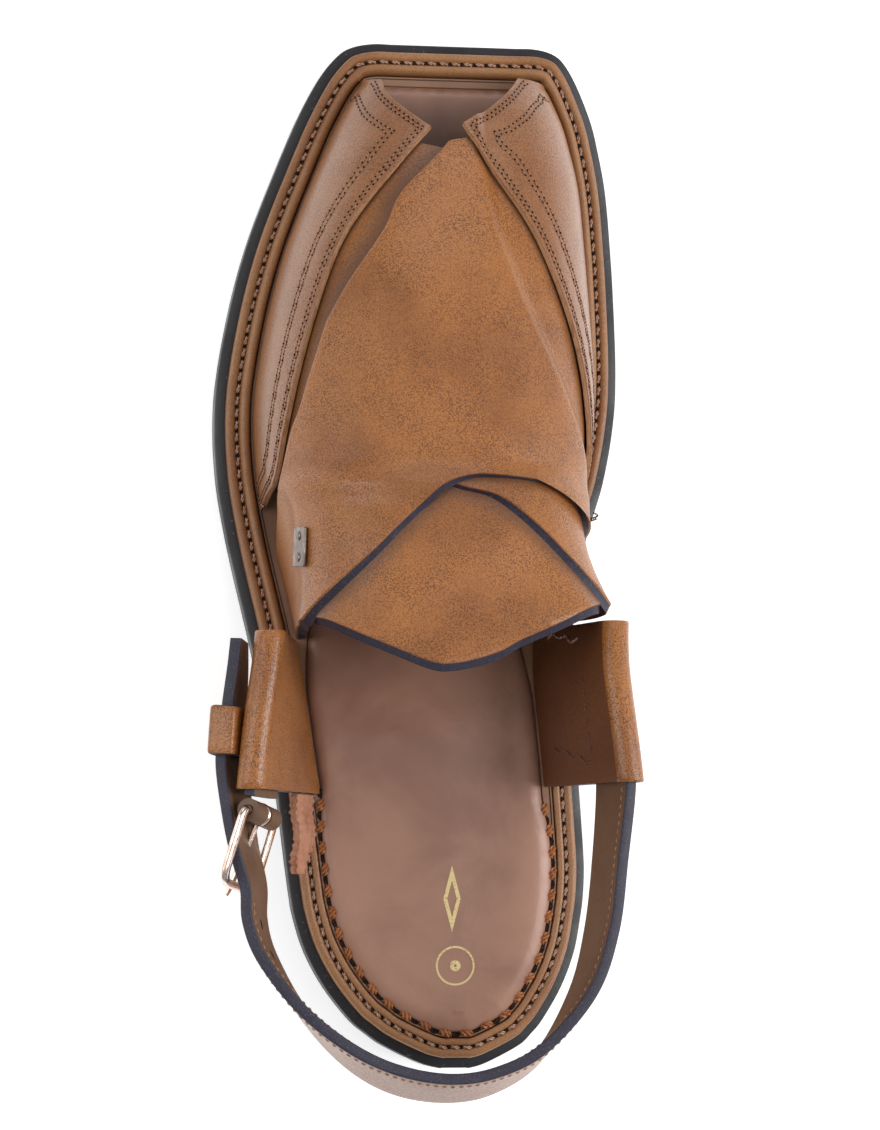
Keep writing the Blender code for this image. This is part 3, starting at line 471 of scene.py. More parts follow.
class Surface(Enum):
    """The finishes of the shoe's surfaces."""

    UPPER = WaxedLeather("upper_leather")
    PANEL = WaxedLeather("panel_leather", light=(0.345, 0.150, 0.062), cloud_share=0.40, fleck_share=0.70,
                          rough=0.34, coat=0.45)
    LOOP = WaxedLeather("loop_leather", fleck_share=0.90, rough=0.33)
    # the loop leather darkened as painted shade, for the inner face of the inner loop
    LOOP_INSIDE = WaxedLeather("loop_inside_painted_shade", light=(0.150, 0.055, 0.019), cloud=(0.090, 0.030, 0.010))
    BAND = WaxedLeather("heel_band_leather", light=(0.40, 0.235, 0.165), fleck_share=0.45, cloud_share=0.3)
    WELT = WaxedLeather("welt_leather", light=(0.37, 0.175, 0.070), fleck_share=0.40, cloud_share=0.5)
    RIM = SatinLeather("rim_leather", base=(0.330, 0.175, 0.105), shade=(0.22, 0.11, 0.066))
    FOOTBED = SatinLeather("footbed_leather")
    LINING = SatinLeather("lining_leather", base=(0.150, 0.078, 0.040), shade=(0.098, 0.046, 0.022),
                          rough=0.5)
    EDGE = PaintedEdge("painted_edge")
    RAW = RawLeather("raw_leather")
    RAW_EDGE = RawLeather("raw_edge", base=(0.50, 0.27, 0.13), shade=(0.30, 0.13, 0.05))
    PINK_EDGE = RawLeather("pink_edge", base=(0.62, 0.29, 0.22), shade=(0.42, 0.17, 0.11),
                           streak=(0.12, 1.0, 1.0))
    RUBBER = BlackRubber("sole_rubber")
    HEEL = BlackRubber("heel_rubber_lifts", tread=True)
    WELT_THREAD = Thread("welt_thread")
    SEAT_THREAD = Thread("seat_thread", base=(0.50, 0.185, 0.065), shade=(0.25, 0.075, 0.022), rough=0.38)
    PANEL_THREAD = Thread("panel_thread", base=(0.40, 0.20, 0.115), shade=(0.22, 0.09, 0.04))
    LOOP_THREAD = Thread("loop_thread", base=(0.17, 0.075, 0.045), shade=(0.07, 0.03, 0.02))
    LOOSE_THREAD = Thread("loose_thread", base=(0.60, 0.40, 0.33), shade=(0.40, 0.22, 0.17))
    HOLE = HoleShade("needle_hole_shade")
    BUCKLE = PlatedMetal("buckle_plating")
    GUNMETAL = PlatedMetal("gunmetal_plating", base=(0.22, 0.19, 0.18), worn=(0.36, 0.28, 0.24), rough=0.28)
    FOIL = GoldFoil("gold_foil")
    FLOOR = PaleFloor()

    def material(self) -> bpy.types.Material:
        """The material of this finish, made once."""
        return bpy.data.materials.get(f"{self.value.name}_finish") or self.value.build()


# Meshes
@dataclass
class MeshDraft:
    """Points and faces of a piece before it becomes an object."""

    points: list[Array] = field(default_factory=list)
    faces: list[tuple[int, ...]] = field(default_factory=list)
    slots: list[int] = field(default_factory=list)
    count: int = 0

    def put(self, points: Array) -> int:
        """Add points and return the number of the first one."""
        start = self.count
        self.points.append(np.asarray(points, float).reshape(-1, 3))
        self.count += len(self.points[-1])
        return start

    def face(self, corners: Sequence[int], slot: int = 0) -> None:
        """Add one face with its material slot."""
        self.faces.append(tuple(int(c) for c in corners))
        self.slots.append(slot)

    def rings(self, start: int, levels: int, count: int, wrap: bool = False,
              slots: Sequence[int] = (0,)) -> None:
        """Join rings of the same count, one above another.

        Args:
            start: number of the first ring's first point.
            levels: how many rings there are.
            count: points in a ring.
            wrap: whether the last ring joins the first.
            slots: material slot of each level, the last one holding for the rest.
        """
        for i in range(levels if wrap else levels - 1):
            low, high = start + i * count, start + (i + 1) % levels * count
            for j in range(count):
                k = (j + 1) % count
                self.face((low + j, low + k, high + k, high + j), slots[min(i, len(slots) - 1)])

    def tube(self, rings: Sequence[Array], kinds: Sequence[int] | None = None, cap: int = 0) -> None:
        """Skin rings of points from end to end and close both ends.

        Args:
            rings: rings of the same count.
            kinds: material slot of each run along the tube.
            cap: material slot of both ends.
        """
        count = len(rings[0])
        start = self.put(np.vstack(rings))
        for i in range(len(rings) - 1):
            low, high = start + i * count, start + (i + 1) * count
            for j in range(count):
                k = (j + 1) % count
                self.face((low + j, low + k, high + k, high + j), kinds[j] if kinds else 0)
        self.face(range(start, start + count), cap)
        self.face(range(self.count - count, self.count), cap)

    def build(self, name: str, surfaces: Sequence[Surface], sharp: float = 35.0) -> bpy.types.Object:
        """Make the object, its doubles merged and its faces pointing out.

        Args:
            name: the piece's name.
            surfaces: finish of each material slot.
            sharp: angle in degrees above which an edge stays crisp.

        Returns:
            The object, which rides on the root body.
        """
        mesh = bpy.data.meshes.new(name)
        mesh.from_pydata(np.vstack(self.points).tolist(), [], self.faces)
        mesh.polygons.foreach_set("material_index", self.slots)
        for surface in surfaces:
            mesh.materials.append(surface.material())
        shaped = bmesh.new()
        shaped.from_mesh(mesh)
        bmesh.ops.remove_doubles(shaped, verts=shaped.verts, dist=1e-6)
        bmesh.ops.recalc_face_normals(shaped, faces=shaped.faces)
        shaped.to_mesh(mesh)
        shaped.free()
        mesh.shade_smooth()
        mesh.set_sharp_from_angle(angle=math.radians(sharp))
        thing = bpy.data.objects.new(name, mesh)
        bpy.context.scene.collection.objects.link(thing)
        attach(thing, "root")
        return thing


def paint_shade(thing: bpy.types.Object, line: Array, reach: float, amount: float) -> None:
    """Paint shade into a piece's leather colour near a line, where another piece lies over it.

    Args:
        thing: the piece.
        line: points of the line.
        reach: how far the painted shade spreads.
        amount: its strength on the line.
    """
    mesh = thing.data
    spots = np.array([point.co for point in mesh.vertices])
    away = np.full(len(spots), np.inf)
    for place in line:
        away = np.minimum(away, np.linalg.norm(spots - place, axis=1))
    # painted shade, kept per point for the leather finishes to mix into their colour
    tone = mesh.attributes.get("painted_shade") or mesh.attributes.new("painted_shade", "FLOAT", "POINT")
    before = np.zeros(len(spots), np.float32)
    tone.data.foreach_get("value", before)
    dark = np.maximum(before, amount * np.exp(-(away / reach) ** 2))
    tone.data.foreach_set("value", dark.astype(np.float32))


def deselect() -> None:
    """Leave nothing selected."""
    for thing in bpy.context.selected_objects:
        thing.select_set(False)


def sheet_draft(inside: Array, outside: Array, slots: tuple[int, int, int, int, int, int]) -> MeshDraft:
    """A closed sheet between two grids of points.

    Args:
        inside: rows by columns by 3.
        outside: the same grid on the upper face.
        slots: material slots of the outside, the inside, the first and last column, the first and last row.

    Returns:
        The draft of the sheet.
    """
    draft = MeshDraft()
    rows, cols = inside.shape[:2]
    low, top = draft.put(inside), draft.put(outside)

    def at(start: int, i: int, j: int) -> int:
        return start + i * cols + j

    for i in range(rows - 1):
        for j in range(cols - 1):
            draft.face((at(top, i, j), at(top, i + 1, j), at(top, i + 1, j + 1), at(top, i, j + 1)), slots[0])
            draft.face((at(low, i, j), at(low, i, j + 1), at(low, i + 1, j + 1), at(low, i + 1, j)), slots[1])
        for j, slot in ((0, slots[2]), (cols - 1, slots[3])):
            draft.face((at(low, i, j), at(low, i + 1, j), at(top, i + 1, j), at(top, i, j)), slot)
    for j in range(cols - 1):
        for i, slot in ((0, slots[4]), (rows - 1, slots[5])):
            draft.face((at(low, i, j), at(low, i, j + 1), at(top, i, j + 1), at(top, i, j)), slot)
    return draft


@dataclass
class Stitching:
    """Stitches laid as short twisted strands between needle holes."""

    radius: float = 0.00032
    strands: int = 2
    turns: float = 0.75
    sides: int = 6
    rings: int = 6
    sink: float = 0.5
    slant: float = 0.0
    hole_rise: float = 0.00007
    hole_depth: float = 0.0003

    def stitches(self, name: str, starts: Array, ends: Array, normals: Array,
                 surface: Surface) -> bpy.types.Object:
        """Lay one stitch from each start to its end.

        Args:
            name: the piece's name.
            starts: one point a stitch.
            ends: one point a stitch.
            normals: the surface's direction at each stitch.
            surface: the thread's finish.

        Returns:
            The object.
        """
        draft = MeshDraft()
        ahead = unit(ends - starts)
        side = unit(np.cross(ahead, normals))
        over = unit(np.cross(side, ahead))
        share = np.linspace(0.0, 1.0, self.rings)
        swell = np.clip(np.sin(np.pi * (0.08 + 0.84 * share)), 0.0, 1.0) ** 0.5
        rise = (np.sin(np.pi * share) ** 0.6 - self.sink) * self.radius
        turn = circle(self.sides)
        apart = 0.62 * self.radius if self.strands > 1 else 0.0
        for strand in range(self.strands):
            phase = 2 * math.pi * (self.turns * share + strand / self.strands)
            thick = self.radius * (0.66 if self.strands > 1 else 1.0) * swell
            shift = np.sin(phase) * apart
            lift = np.cos(phase) * apart + rise
            for n in range(len(starts)):
                line = starts[n] + np.outer(share, ends[n] - starts[n])
                line = line + np.outer(shift + self.slant * (share - 0.5), side[n]) + np.outer(lift, over[n])
                ring = line[:, None, :] + thick[:, None, None] * (
                    np.cos(turn)[None, :, None] * side[n] + np.sin(turn)[None, :, None] * over[n])
                draft.tube(ring)
        return draft.build(name, [surface], 60.0)

    def holes(self, name: str, places: Array, normals: Array, aheads: Array, long: float,
              wide: float) -> bpy.types.Object:
        """Sink a needle hole at each place, as a small plug whose near-black finish is painted shade.

        Args:
            name: the piece's name.
            places: middles of the holes.
            normals: the surface's direction at each.
            aheads: the seam's direction at each.
            long: half length along the seam.
            wide: half width across it.

        Returns:
            The object.
        """
        draft = MeshDraft()
        side = unit(np.cross(aheads, normals))
        turn = circle(8)
        for n, place in enumerate(places):
            rim = place + np.outer(np.cos(turn) * long, aheads[n]) + np.outer(np.sin(turn) * wide, side[n])
            levels = [rim + normals[n] * self.hole_rise, rim - normals[n] * self.hole_depth]
            start = draft.put(np.vstack(levels))
            draft.rings(start, 2, 8)
            draft.face(range(start, start + 8))
            draft.face(range(start + 8, start + 16))
        return draft.build(name, [Surface.HOLE], 60.0)


# Sole and last
@dataclass(frozen=True)
class SoleShape:
    """Outline and levels of the sole."""

    length: float = 0.307
    ball_width: float = 0.123
    heel_back: float = 0.039
    heel_height: float = 0.012
    outsole_thick: float = 0.007
    toe_spring: float = 0.007
    spring_start: float = 0.78
    waist: tuple[float, float] = (0.27, 0.55)
    welt_thick: float = 0.0045
    welt_strip: float = 0.0024
    ledge: float = 0.0033
    groove_width: float = 0.0014
    groove_depth: float = 0.0012
    bead_width: float = 0.0032
    bead_rise: float = 0.0019
    seat_rim_width: float = 0.0019
    seat_rim_rise: float = 0.0004
    rim_thick: float = 0.0042
    bed_rise: float = 0.0024
    clear: float = 0.0003
    loop_wall: float = 0.0022
    side_room: float = 0.0053
    toe_close: float = 0.65
    rung_pitch: float = 0.0082
    end_parts: int = 8
    # along, outer side, inner side, as shares of the sole's length and of the ball width
    outline: tuple[Triple, ...] = (
        (0.000, -0.010, 0.090), (0.005, 0.036, 0.130), (0.021, 0.120, 0.207), (0.047, 0.205, 0.268),
        (0.078, 0.266, 0.313), (0.112, 0.312, 0.345), (0.146, 0.339, 0.361), (0.189, 0.356, 0.370),
        (0.260, 0.379, 0.360), (0.330, 0.405, 0.348), (0.410, 0.441, 0.351), (0.500, 0.489, 0.386),
        (0.570, 0.519, 0.438), (0.630, 0.526, 0.465), (0.680, 0.515, 0.472), (0.750, 0.482, 0.467),
        (0.810, 0.440, 0.458), (0.870, 0.384, 0.442), (0.930, 0.322, 0.406), (0.965, 0.276, 0.368),
        (0.987, 0.232, 0.333), (0.996, 0.196, 0.302), (1.000, 0.146, 0.258))

    @property
    def weights(self) -> Array:
        """Real size of one unit of along and of girth, for even steps over the last."""
        return np.array([self.length, 0.75 * self.ball_width])

    def y_of(self, along: Array) -> Array:
        """Distance along Y of a share of the sole's length."""
        return np.asarray(along, float) * self.length - self.heel_back

    def along_of(self, y: Array) -> Array:
        """Share of the sole's length of a distance along Y."""
        return (np.asarray(y, float) + self.heel_back) / self.length

    def bottom(self, y: Array) -> Array:
        """Height of the outsole's underside."""
        along = self.along_of(y)
        waist = self.heel_height * (1.0 - smooth((along - self.waist[0]) / (self.waist[1] - self.waist[0])))
        spring = np.clip((along - self.spring_start) / (1.0 - self.spring_start), 0.0, None) ** 2
        return waist + self.toe_spring * spring

    def top(self, y: Array) -> Array:
        """Height of the outsole's upper face."""
        return self.bottom(y) + self.outsole_thick

    def rim(self, y: Array) -> Array:
        """Height of the insole's flat rim."""
        return self.top(y) + self.rim_thick

    def forefoot(self, along: Array) -> Array:
        """0 over the heel seat and 1 where the bead runs."""
        return smooth((np.asarray(along, float) - 0.30) / 0.10)

    def welt_inner(self, along: Array) -> Array:
        """Inset of the welt's inner wall."""
        start = self.ledge + self.welt_strip + self.groove_width + self.seat_rim_width
        return start + (self.bead_width - self.seat_rim_width) * self.forefoot(along)

    def ridge_rise(self, along: Array) -> Array:
        """Height of the welt's inner ridge over its strip."""
        return self.seat_rim_rise + (self.bead_rise - self.seat_rim_rise) * self.forefoot(along)

    def loop_inset(self, along: Array) -> Array:
        """Inset of the side loops' inner face at their foot."""
        return self.welt_inner(along) + 2 * self.clear + self.loop_wall

    def last_inset(self, along: Array) -> Array:
        """Inset of the last's feather edge."""
        close = 1.0 - self.toe_close * smooth((np.asarray(along, float) - 0.985) / 0.015)
        return self.welt_inner(along) + 2 * self.clear + self.side_room * close

    def bed_edge(self, along: Array) -> Array:
        """Inset of the padded bed."""
        seat = self.welt_inner(along) + 0.0018
        loops = self.loop_inset(along) + 0.0007
        front = self.last_inset(along) + 0.0010
        inset = seat + (loops - seat) * smooth((along - 0.225) / 0.03)
        return inset + (front - inset) * smooth((along - 0.37) / 0.03)

    @cache
    def rows(self) -> Array:
        """The outline's rows, about a rung pitch apart."""
        fine = spline(self.outline, 12)
        reals = fine * (self.length, self.ball_width, self.ball_width)
        out = []
        for i in range(len(self.outline) - 1):
            part = reals[12 * i:12 * i + 13]
            run = np.linalg.norm(np.diff(part[:, :2], axis=0), axis=1).sum()
            steps = max(1, round(run / self.rung_pitch))
            wanted = 12 * i + np.arange(steps) * 12 / steps
            out += [[np.interp(w, np.arange(len(fine)), fine[:, c]) for c in range(3)] for w in wanted]
        return np.array(out + [list(self.outline[-1])])

    def sides(self, inset: Inset) -> tuple[Array, Array]:
        """Matched points of the outer and inner sides, moved in by an inset."""
        rows = self.rows()
        along, y = rows[:, 0], self.y_of(rows[:, 0])
        ring = np.vstack([np.stack([-rows[:, 1] * self.ball_width, y], 1),
                          np.stack([rows[:, 2] * self.ball_width, y], 1)[::-1]])
        ahead = unit(np.roll(ring, -1, 0) - ring)
        tangent = unit(ahead + np.roll(ahead, 1, 0))
        inward = np.stack([tangent[:, 1], -tangent[:, 0]], 1)
        amount = np.broadcast_to(inset(along) if callable(inset) else inset, along.shape)
        moved = ring + inward * np.concatenate([amount, amount[::-1]])[:, None]
        count = len(along)
        return self.in_order(moved[:count]), self.in_order(moved[count:][::-1])

    @staticmethod
    def in_order(side: Array) -> Array:
        """Stop a side's points from folding back near a tight corner."""
        side, middle = side.copy(), len(side) // 2
        for i in range(middle, len(side) - 1):
            side[i + 1, 1] = max(side[i + 1, 1], side[i, 1] + 1e-5)
        for i in range(middle, 0, -1):
            side[i - 1, 1] = min(side[i - 1, 1], side[i, 1] - 1e-5)
        return side

    def ring(self, inset: Inset, steps: int, across: int) -> Array:
        """A fine ring of the outline at an inset: outer side, toe, inner side, heel.

        Args:
            inset: distance in from the outline.
            steps: fine steps between two rungs.
            across: steps over the toe and over the heel.

        Returns:
            Points in X and Y. A side has steps * (rungs - 1) + 1 of them and an end across - 1.
        """
        outer, inner = self.sides(inset)
        ends = [a + (b - a) * np.arange(1, self.end_parts)[:, None] / self.end_parts
                for a, b in ((outer[-1], inner[-1]), (inner[0], outer[0]))]
        coarse = np.vstack([outer, ends[0], inner[::-1], ends[1]])
        count, parts = len(outer), self.end_parts
        whole = steps * across
        fine = spline(coarse, whole, True).reshape(len(coarse), whole, 2)
        out = []
        for i in range(len(coarse)):
            in_toe = count - 1 <= i < count - 1 + parts
            in_heel = i >= 2 * count - 2 + parts
            pieces = across // parts if in_toe or in_heel else steps
            out.append(fine[i][(np.arange(pieces) * whole / pieces).astype(int)])
        return np.vstack(out)

    def side_line(self, inset: Inset, side: int) -> Array:
        """A smooth side of the outline at an inset, on the outer (-1) or inner (+1) side."""
        line = spline(self.sides(inset)[0 if side < 0 else 1], 8)
        line[:, 1] = np.maximum.accumulate(line[:, 1])
        return line


SOLE = SoleShape()


@dataclass
class Last:
    """The foot shape under the upper."""

    instep_height: float = 0.058
    stand_clear: float = 0.0005
    feather_end: float = 0.945
    # along, height, squareness, outer flare, inner flare
    sections: tuple[tuple[float, float, float, float, float], ...] = (
        (0.300, 0.97, 4.4, 0.11, 0.25), (0.380, 0.93, 4.4, 0.09, 0.25), (0.410, 0.93, 4.0, 0.06, 0.25),
        (0.440, 0.95, 3.4, 0.03, 0.21), (0.470, 0.96, 3.0, 0.01, 0.165), (0.500, 0.96, 2.8, 0.000, 0.125),
        (0.550, 0.92, 2.5, 0.000, 0.090), (0.650, 0.81, 2.3, 0.005, 0.045), (0.750, 0.69, 2.3, 0.010, 0.015),
        (0.850, 0.52, 2.3, 0.010, 0.010), (0.900, 0.39, 2.3, 0.000, 0.000), (0.930, 0.27, 2.3, 0.000, 0.000),
        (0.950, 0.16, 2.3, 0.000, 0.000), (0.965, 0.08, 2.3, 0.000, 0.000))

    def __post_init__(self) -> None:
        """Fit the feather lines and the section curves."""
        self.lines = {side: SOLE.side_line(SOLE.last_inset, side) for side in (-1, 1)}
        self.curves = spline(self.sections, 24)

    def point(self, along: Array, girth: Array) -> Array:
        """A point of the last."""
        along, girth = np.broadcast_arrays(np.asarray(along, float), np.asarray(girth, float))
        y = SOLE.y_of(along)
        height, square, outer_flare, inner_flare = (
            np.interp(along, self.curves[:, 0], self.curves[:, i]) for i in range(1, 5))
        flare = np.where(girth < 0, outer_flare, inner_flare) * SOLE.ball_width
        outer, inner = (np.interp(y, self.lines[s][:, 1], self.lines[s][:, 0]) for s in (-1, 1))
        middle, half = 0.5 * (outer + inner), 0.5 * (inner - outer)
        share = 1.0 - np.abs(girth)
        rise = share ** (square / 2)
        angle = rise / (rise + (1.0 - share) ** (square / 2)) * math.pi / 2
        up = np.sin(angle) ** (2 / square)
        out = np.clip(np.cos(angle), 0.0, 1.0) ** (2 / square) * (half + flare * up)
        z = SOLE.rim(y) + self.stand_clear + up * height * self.instep_height
        return np.stack([middle + np.sign(girth) * out, y, z], -1)

    def normal(self, along: Array, girth: Array) -> Array:
        """The last's outward direction. It holds where the feather lines end."""
        step = 0.004
        along = np.minimum(along, self.feather_end - step)
        low, high = np.clip(girth - step * 3, -1, 1), np.clip(girth + step * 3, -1, 1)
        over = self.point(along, high) - self.point(along, low)
        ahead = self.point(along + step, girth) - self.point(along - step, girth)
        return unit(np.cross(over, ahead))

    def lifted(self, along: Array, girth: Array, lift: Array) -> Array:
        """A point that stands off the last by this much leather."""
        point = self.point(along, girth) + self.normal(along, girth) * np.asarray(lift)[..., None]
        point[..., 2] = np.maximum(point[..., 2], SOLE.rim(point[..., 1]) + self.stand_clear)
        return point


@dataclass(frozen=True)
class Crease:
    """A soft trough or ridge between two places seen from above."""

    start: tuple[float, float]
    end: tuple[float, float]
    width: float
    rise: float

    def lift(self, x: Array, y: Array) -> Array:
        """Height that the crease adds at each place."""
        a, b = np.array(self.start), np.array(self.end)
        run = b - a
        length = np.linalg.norm(run)
        share = ((x - a[0]) * run[0] + (y - a[1]) * run[1]) / length ** 2
        away = np.hypot(x - a[0] - np.clip(share, 0, 1) * run[0], y - a[1] - np.clip(share, 0, 1) * run[1])
        fade = smooth(np.clip(share, 0, 1) / 0.25) * smooth((1 - np.clip(share, 0, 1)) / 0.25)
        return self.rise * np.exp(-(away / self.width) ** 2) * (0.25 + 0.75 * fade)


# Sub-assemblies
@dataclass
class SoleUnit:
    """Outsole, heel, welt and footbed, with their stitching."""

    steps: int = 5
    across: int = 40
    edge_round: float = 0.0006
    ledge_end: float = 0.0040
    welt_pitch: float = 0.00366
    seat_pitch: float = 0.0064
    tread_pitch: float = 0.0070
    tread_depth: float = 0.0006
    pad_roll: float = 0.0052
    pad_crown: float = 0.0010
    pad_skirt: float = 0.0006
    scallop_depth: float = 0.00045
    scallop_turns: float = 640.0
    scallop_from: float = 0.2475
    toe_shade: float = 0.232
    seat_end: float = 0.262
    mark: tuple[float, float] = (0.0052, -0.0088)
    lozenge: tuple[float, float] = (0.0042, 0.0108)
    # share across the bead, share of its rise
    bead_section: tuple[tuple[float, float], ...] = (
        (0.0, 0.05), (0.06, 0.48), (0.18, 0.80), (0.34, 0.97), (0.50, 1.0), (0.66, 0.97), (0.82, 0.80),
        (0.94, 0.48), (1.0, 0.0))
    creases: tuple[Crease, ...] = (
        Crease((-0.0395, 0.041), (-0.018, 0.044), 0.0030, -0.00055),
        Crease((-0.0400, 0.050), (-0.022, 0.066), 0.0045, 0.00050),
        Crease((-0.0350, 0.080), (-0.015, 0.062), 0.0050, -0.00045),
        Crease((0.0200, 0.046), (0.030, 0.062), 0.0040, -0.00035),
        Crease((-0.0100, 0.052), (0.014, 0.048), 0.0060, -0.00030))

    def heights(self, inset: Inset, height: Height) -> Array:
        """A fine ring at an inset and a height."""
        ring = SOLE.ring(inset, self.steps, self.across)
        return np.column_stack([ring, height(ring[:, 1])])

    def fill(self, draft: MeshDraft, start: int, ring: Array, slot: int = 0,
             relief: Callable[[Array, Array, Array], Array] | None = None) -> None:
        """Close a ring with a fine grid of rungs.

        Args:
            draft: the mesh that has the ring.
            start: number of the ring's first point.
            ring: its points.
            slot: material slot of the new faces.
            relief: height added at x, y and the share across.
        """
        count = len(ring)
        side = (count - 2 * (self.across - 1)) // 2
        toe = [start + side + j for j in range(self.across - 1)]
        heel = [start + count - 1 - j for j in range(self.across - 1)]
        rows = []
        for r in range(side):
            left, right = start + r, start + 2 * side + self.across - 2 - r
            if r == 0:
                rows.append([left, *heel, right])
            elif r == side - 1:
                rows.append([left, *toe, right])
            else:
                a, b = ring[left - start], ring[right - start]
                share = np.arange(1, self.across) / self.across
                line = a + np.outer(share, b - a)
                if relief:
                    line[:, 2] += relief(line[:, 0], line[:, 1], share)
                first = draft.put(line)
                rows.append([left, *range(first, first + self.across - 1), right])
        for near, far in zip(rows, rows[1:]):
            for j in range(self.across):
                draft.face((near[j], near[j + 1], far[j + 1], far[j]), slot)

    def tread(self, x: Array, y: Array, share: Array) -> Array:
        """Shallow curved grooves cut into the underside."""
        wave = np.abs(((y + 0.9 * np.abs(x)) / self.tread_pitch) % 1.0 - 0.5)
        inside = smooth((np.minimum(share, 1 - share) - 0.06) / 0.03)
        return self.tread_depth * smooth((0.20 - wave) / 0.10) * inside

    def make_outsole(self) -> bpy.types.Object:
        """The black outsole, grooved below and scuffed along its ledge."""
        r = self.edge_round

        def over(rise: float) -> Height:
            return lambda y: SOLE.bottom(y) + rise * r

        def under(drop: float) -> Height:
            return lambda y: SOLE.top(y) - drop * r

        levels = ((2 * r, SOLE.bottom), (0.6 * r, over(0.5)), (0.2 * r, over(1.5)), (0.2 * r, over(4.5)),
                  (0.55 * r, over(5.0)), (0.2 * r, over(5.5)), (0.2 * r, under(1.6)), (0.5 * r, under(0.5)),
                  (1.3 * r, SOLE.top), (self.ledge_end, SOLE.top))
        rings = [self.heights(inset, height) for inset, height in levels]
        draft = MeshDraft()
        start = draft.put(np.vstack(rings))
        draft.rings(start, len(rings), len(rings[0]))
        self.fill(draft, start, rings[0], 0, self.tread)
        self.fill(draft, start + (len(rings) - 1) * len(rings[0]), rings[-1])
        thing = draft.build("outsole_rubber", [Surface.RUBBER])
        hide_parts("outsole")
        return thing

    def make_welt(self) -> bpy.types.Object:
        """The welt: flat strip, stitching groove and round bead."""
        groove = SOLE.ledge + SOLE.welt_strip
        bead = groove + SOLE.groove_width
        deck = SOLE.welt_thick

        def in_bead(share: float) -> Height:
            return lambda along: bead + (SOLE.welt_inner(along) - bead) * share

        def ridge(share: float) -> Height:
            return lambda y: SOLE.top(y) + deck + SOLE.ridge_rise(SOLE.along_of(y)) * share

        def flat(rise: float) -> Height:
            return lambda y: SOLE.top(y) + rise

        levels = [(SOLE.ledge, flat(SOLE.clear)), (SOLE.ledge, flat(deck - 0.0009)),
                  (SOLE.ledge + 0.0002, flat(deck - 0.0003)), (SOLE.ledge + 0.0006, flat(deck)),
                  (groove - 0.0008, flat(deck + 0.0001)), (groove - 0.0001, flat(deck - 0.0001)),
                  (groove + 0.0003, flat(deck - 0.0009)),
                  (groove + 0.5 * SOLE.groove_width, flat(deck - SOLE.groove_depth)),
                  (bead - 0.0002, flat(deck - 0.0008))]
        levels += [(in_bead(share), ridge(rise)) for share, rise in self.bead_section]
        levels += [(SOLE.welt_inner, flat(SOLE.clear))]
        rings = [self.heights(inset, height) for inset, height in levels]
        draft = MeshDraft()
        start = draft.put(np.vstack(rings))
        draft.rings(start, len(rings), len(rings[0]), True)
        thing = draft.build("welt_strip", [Surface.WELT], 50.0)
        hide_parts("welt")
        return thing

    def seam(self, inset: Inset, height: Height, pitch: float) -> tuple[Array, Array]:
        """Places a pitch apart round the sole, and the direction of travel at each."""
        ring = self.heights(inset, height)
        ring = np.vstack([ring, ring[:1]])
        places = walk(ring, pitch)[:-1]
        return places, unit(np.roll(places, -1, 0) - np.roll(places, 1, 0))

    def sew_welt(self) -> None:
        """Stitch the groove of the welt right round."""
        middle = SOLE.ledge + SOLE.welt_strip + 0.5 * SOLE.groove_width
        places, ahead = self.seam(middle, lambda y: SOLE.top(y) + SOLE.welt_thick - 0.0003, self.welt_pitch)
        up = np.tile([0.0, 0.0, 1.0], (len(places), 1))
        half = 0.36 * self.welt_pitch
        thread = Stitching(radius=0.00046, turns=0.8, rings=6, sides=6, sink=0.55, slant=0.0005)
        sewn = thread.stitches("welt_stitches", places - ahead * half, places + ahead * half, up,
                               Surface.WELT_THREAD)
        between = 0.5 * (places + np.roll(places, -1, 0))
        holes = thread.holes("welt_needle_holes", between - up * 0.00018, up, ahead, 0.00072, 0.00062)

    def make_rim(self) -> bpy.types.Object:
        """The insole's flat rim, with a fine groove near its outer edge in the darker lining leather."""
        def out(extra: float) -> Height:
            return lambda along: SOLE.welt_inner(along) + SOLE.clear + extra

        def up(rise: float) -> Height:
            return lambda y: SOLE.top(y) + SOLE.rim_thick + rise

        def inner(extra: float) -> Height:
            return lambda along: SOLE.bed_edge(along) + extra

        levels = ((out(0.0), lambda y: SOLE.top(y) + SOLE.clear), (out(0.0), up(-0.0004)),
                  (out(0.0002), up(0.0)), (out(0.0006), up(0.0)), (out(0.0007), up(-0.0005)),
                  (out(0.0009), up(-0.0005)), (out(0.0010), up(0.0)),
                  (inner(-0.0004), up(0.0)), (inner(-0.0001), up(-0.0008)), (inner(0.0020), up(-0.0008)))
        rings = [self.heights(inset, height) for inset, height in levels]
        draft = MeshDraft()
        start = draft.put(np.vstack(rings))
        draft.rings(start, len(rings), len(rings[0]), slots=(0, 0, 0, 1, 1, 1, 0, 0, 0))
        self.fill(draft, start, rings[0])
        self.fill(draft, start + (len(rings) - 1) * len(rings[0]), rings[-1])
        thing = draft.build("insole_rim", [Surface.RIM, Surface.LINING], 30.0)
        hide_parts("insole")
        return thing

    def bed_height(self, x: Array, y: Array, away: Array) -> Array:
        """Height of the footbed at a place this far inside its edge."""
        roll = np.sqrt(np.clip(1.0 - (1.0 - np.clip(away / self.pad_roll, 0, 1)) ** 2, 0, 1))
        rise = SOLE.rim(y) - self.pad_skirt + (SOLE.bed_rise + self.pad_skirt) * roll
        crown = self.pad_crown * smooth((away - 0.004) / 0.030)
        waves = sum(crease.lift(x, y) for crease in self.creases) * smooth(away / 0.006)
        return rise + crown + waves

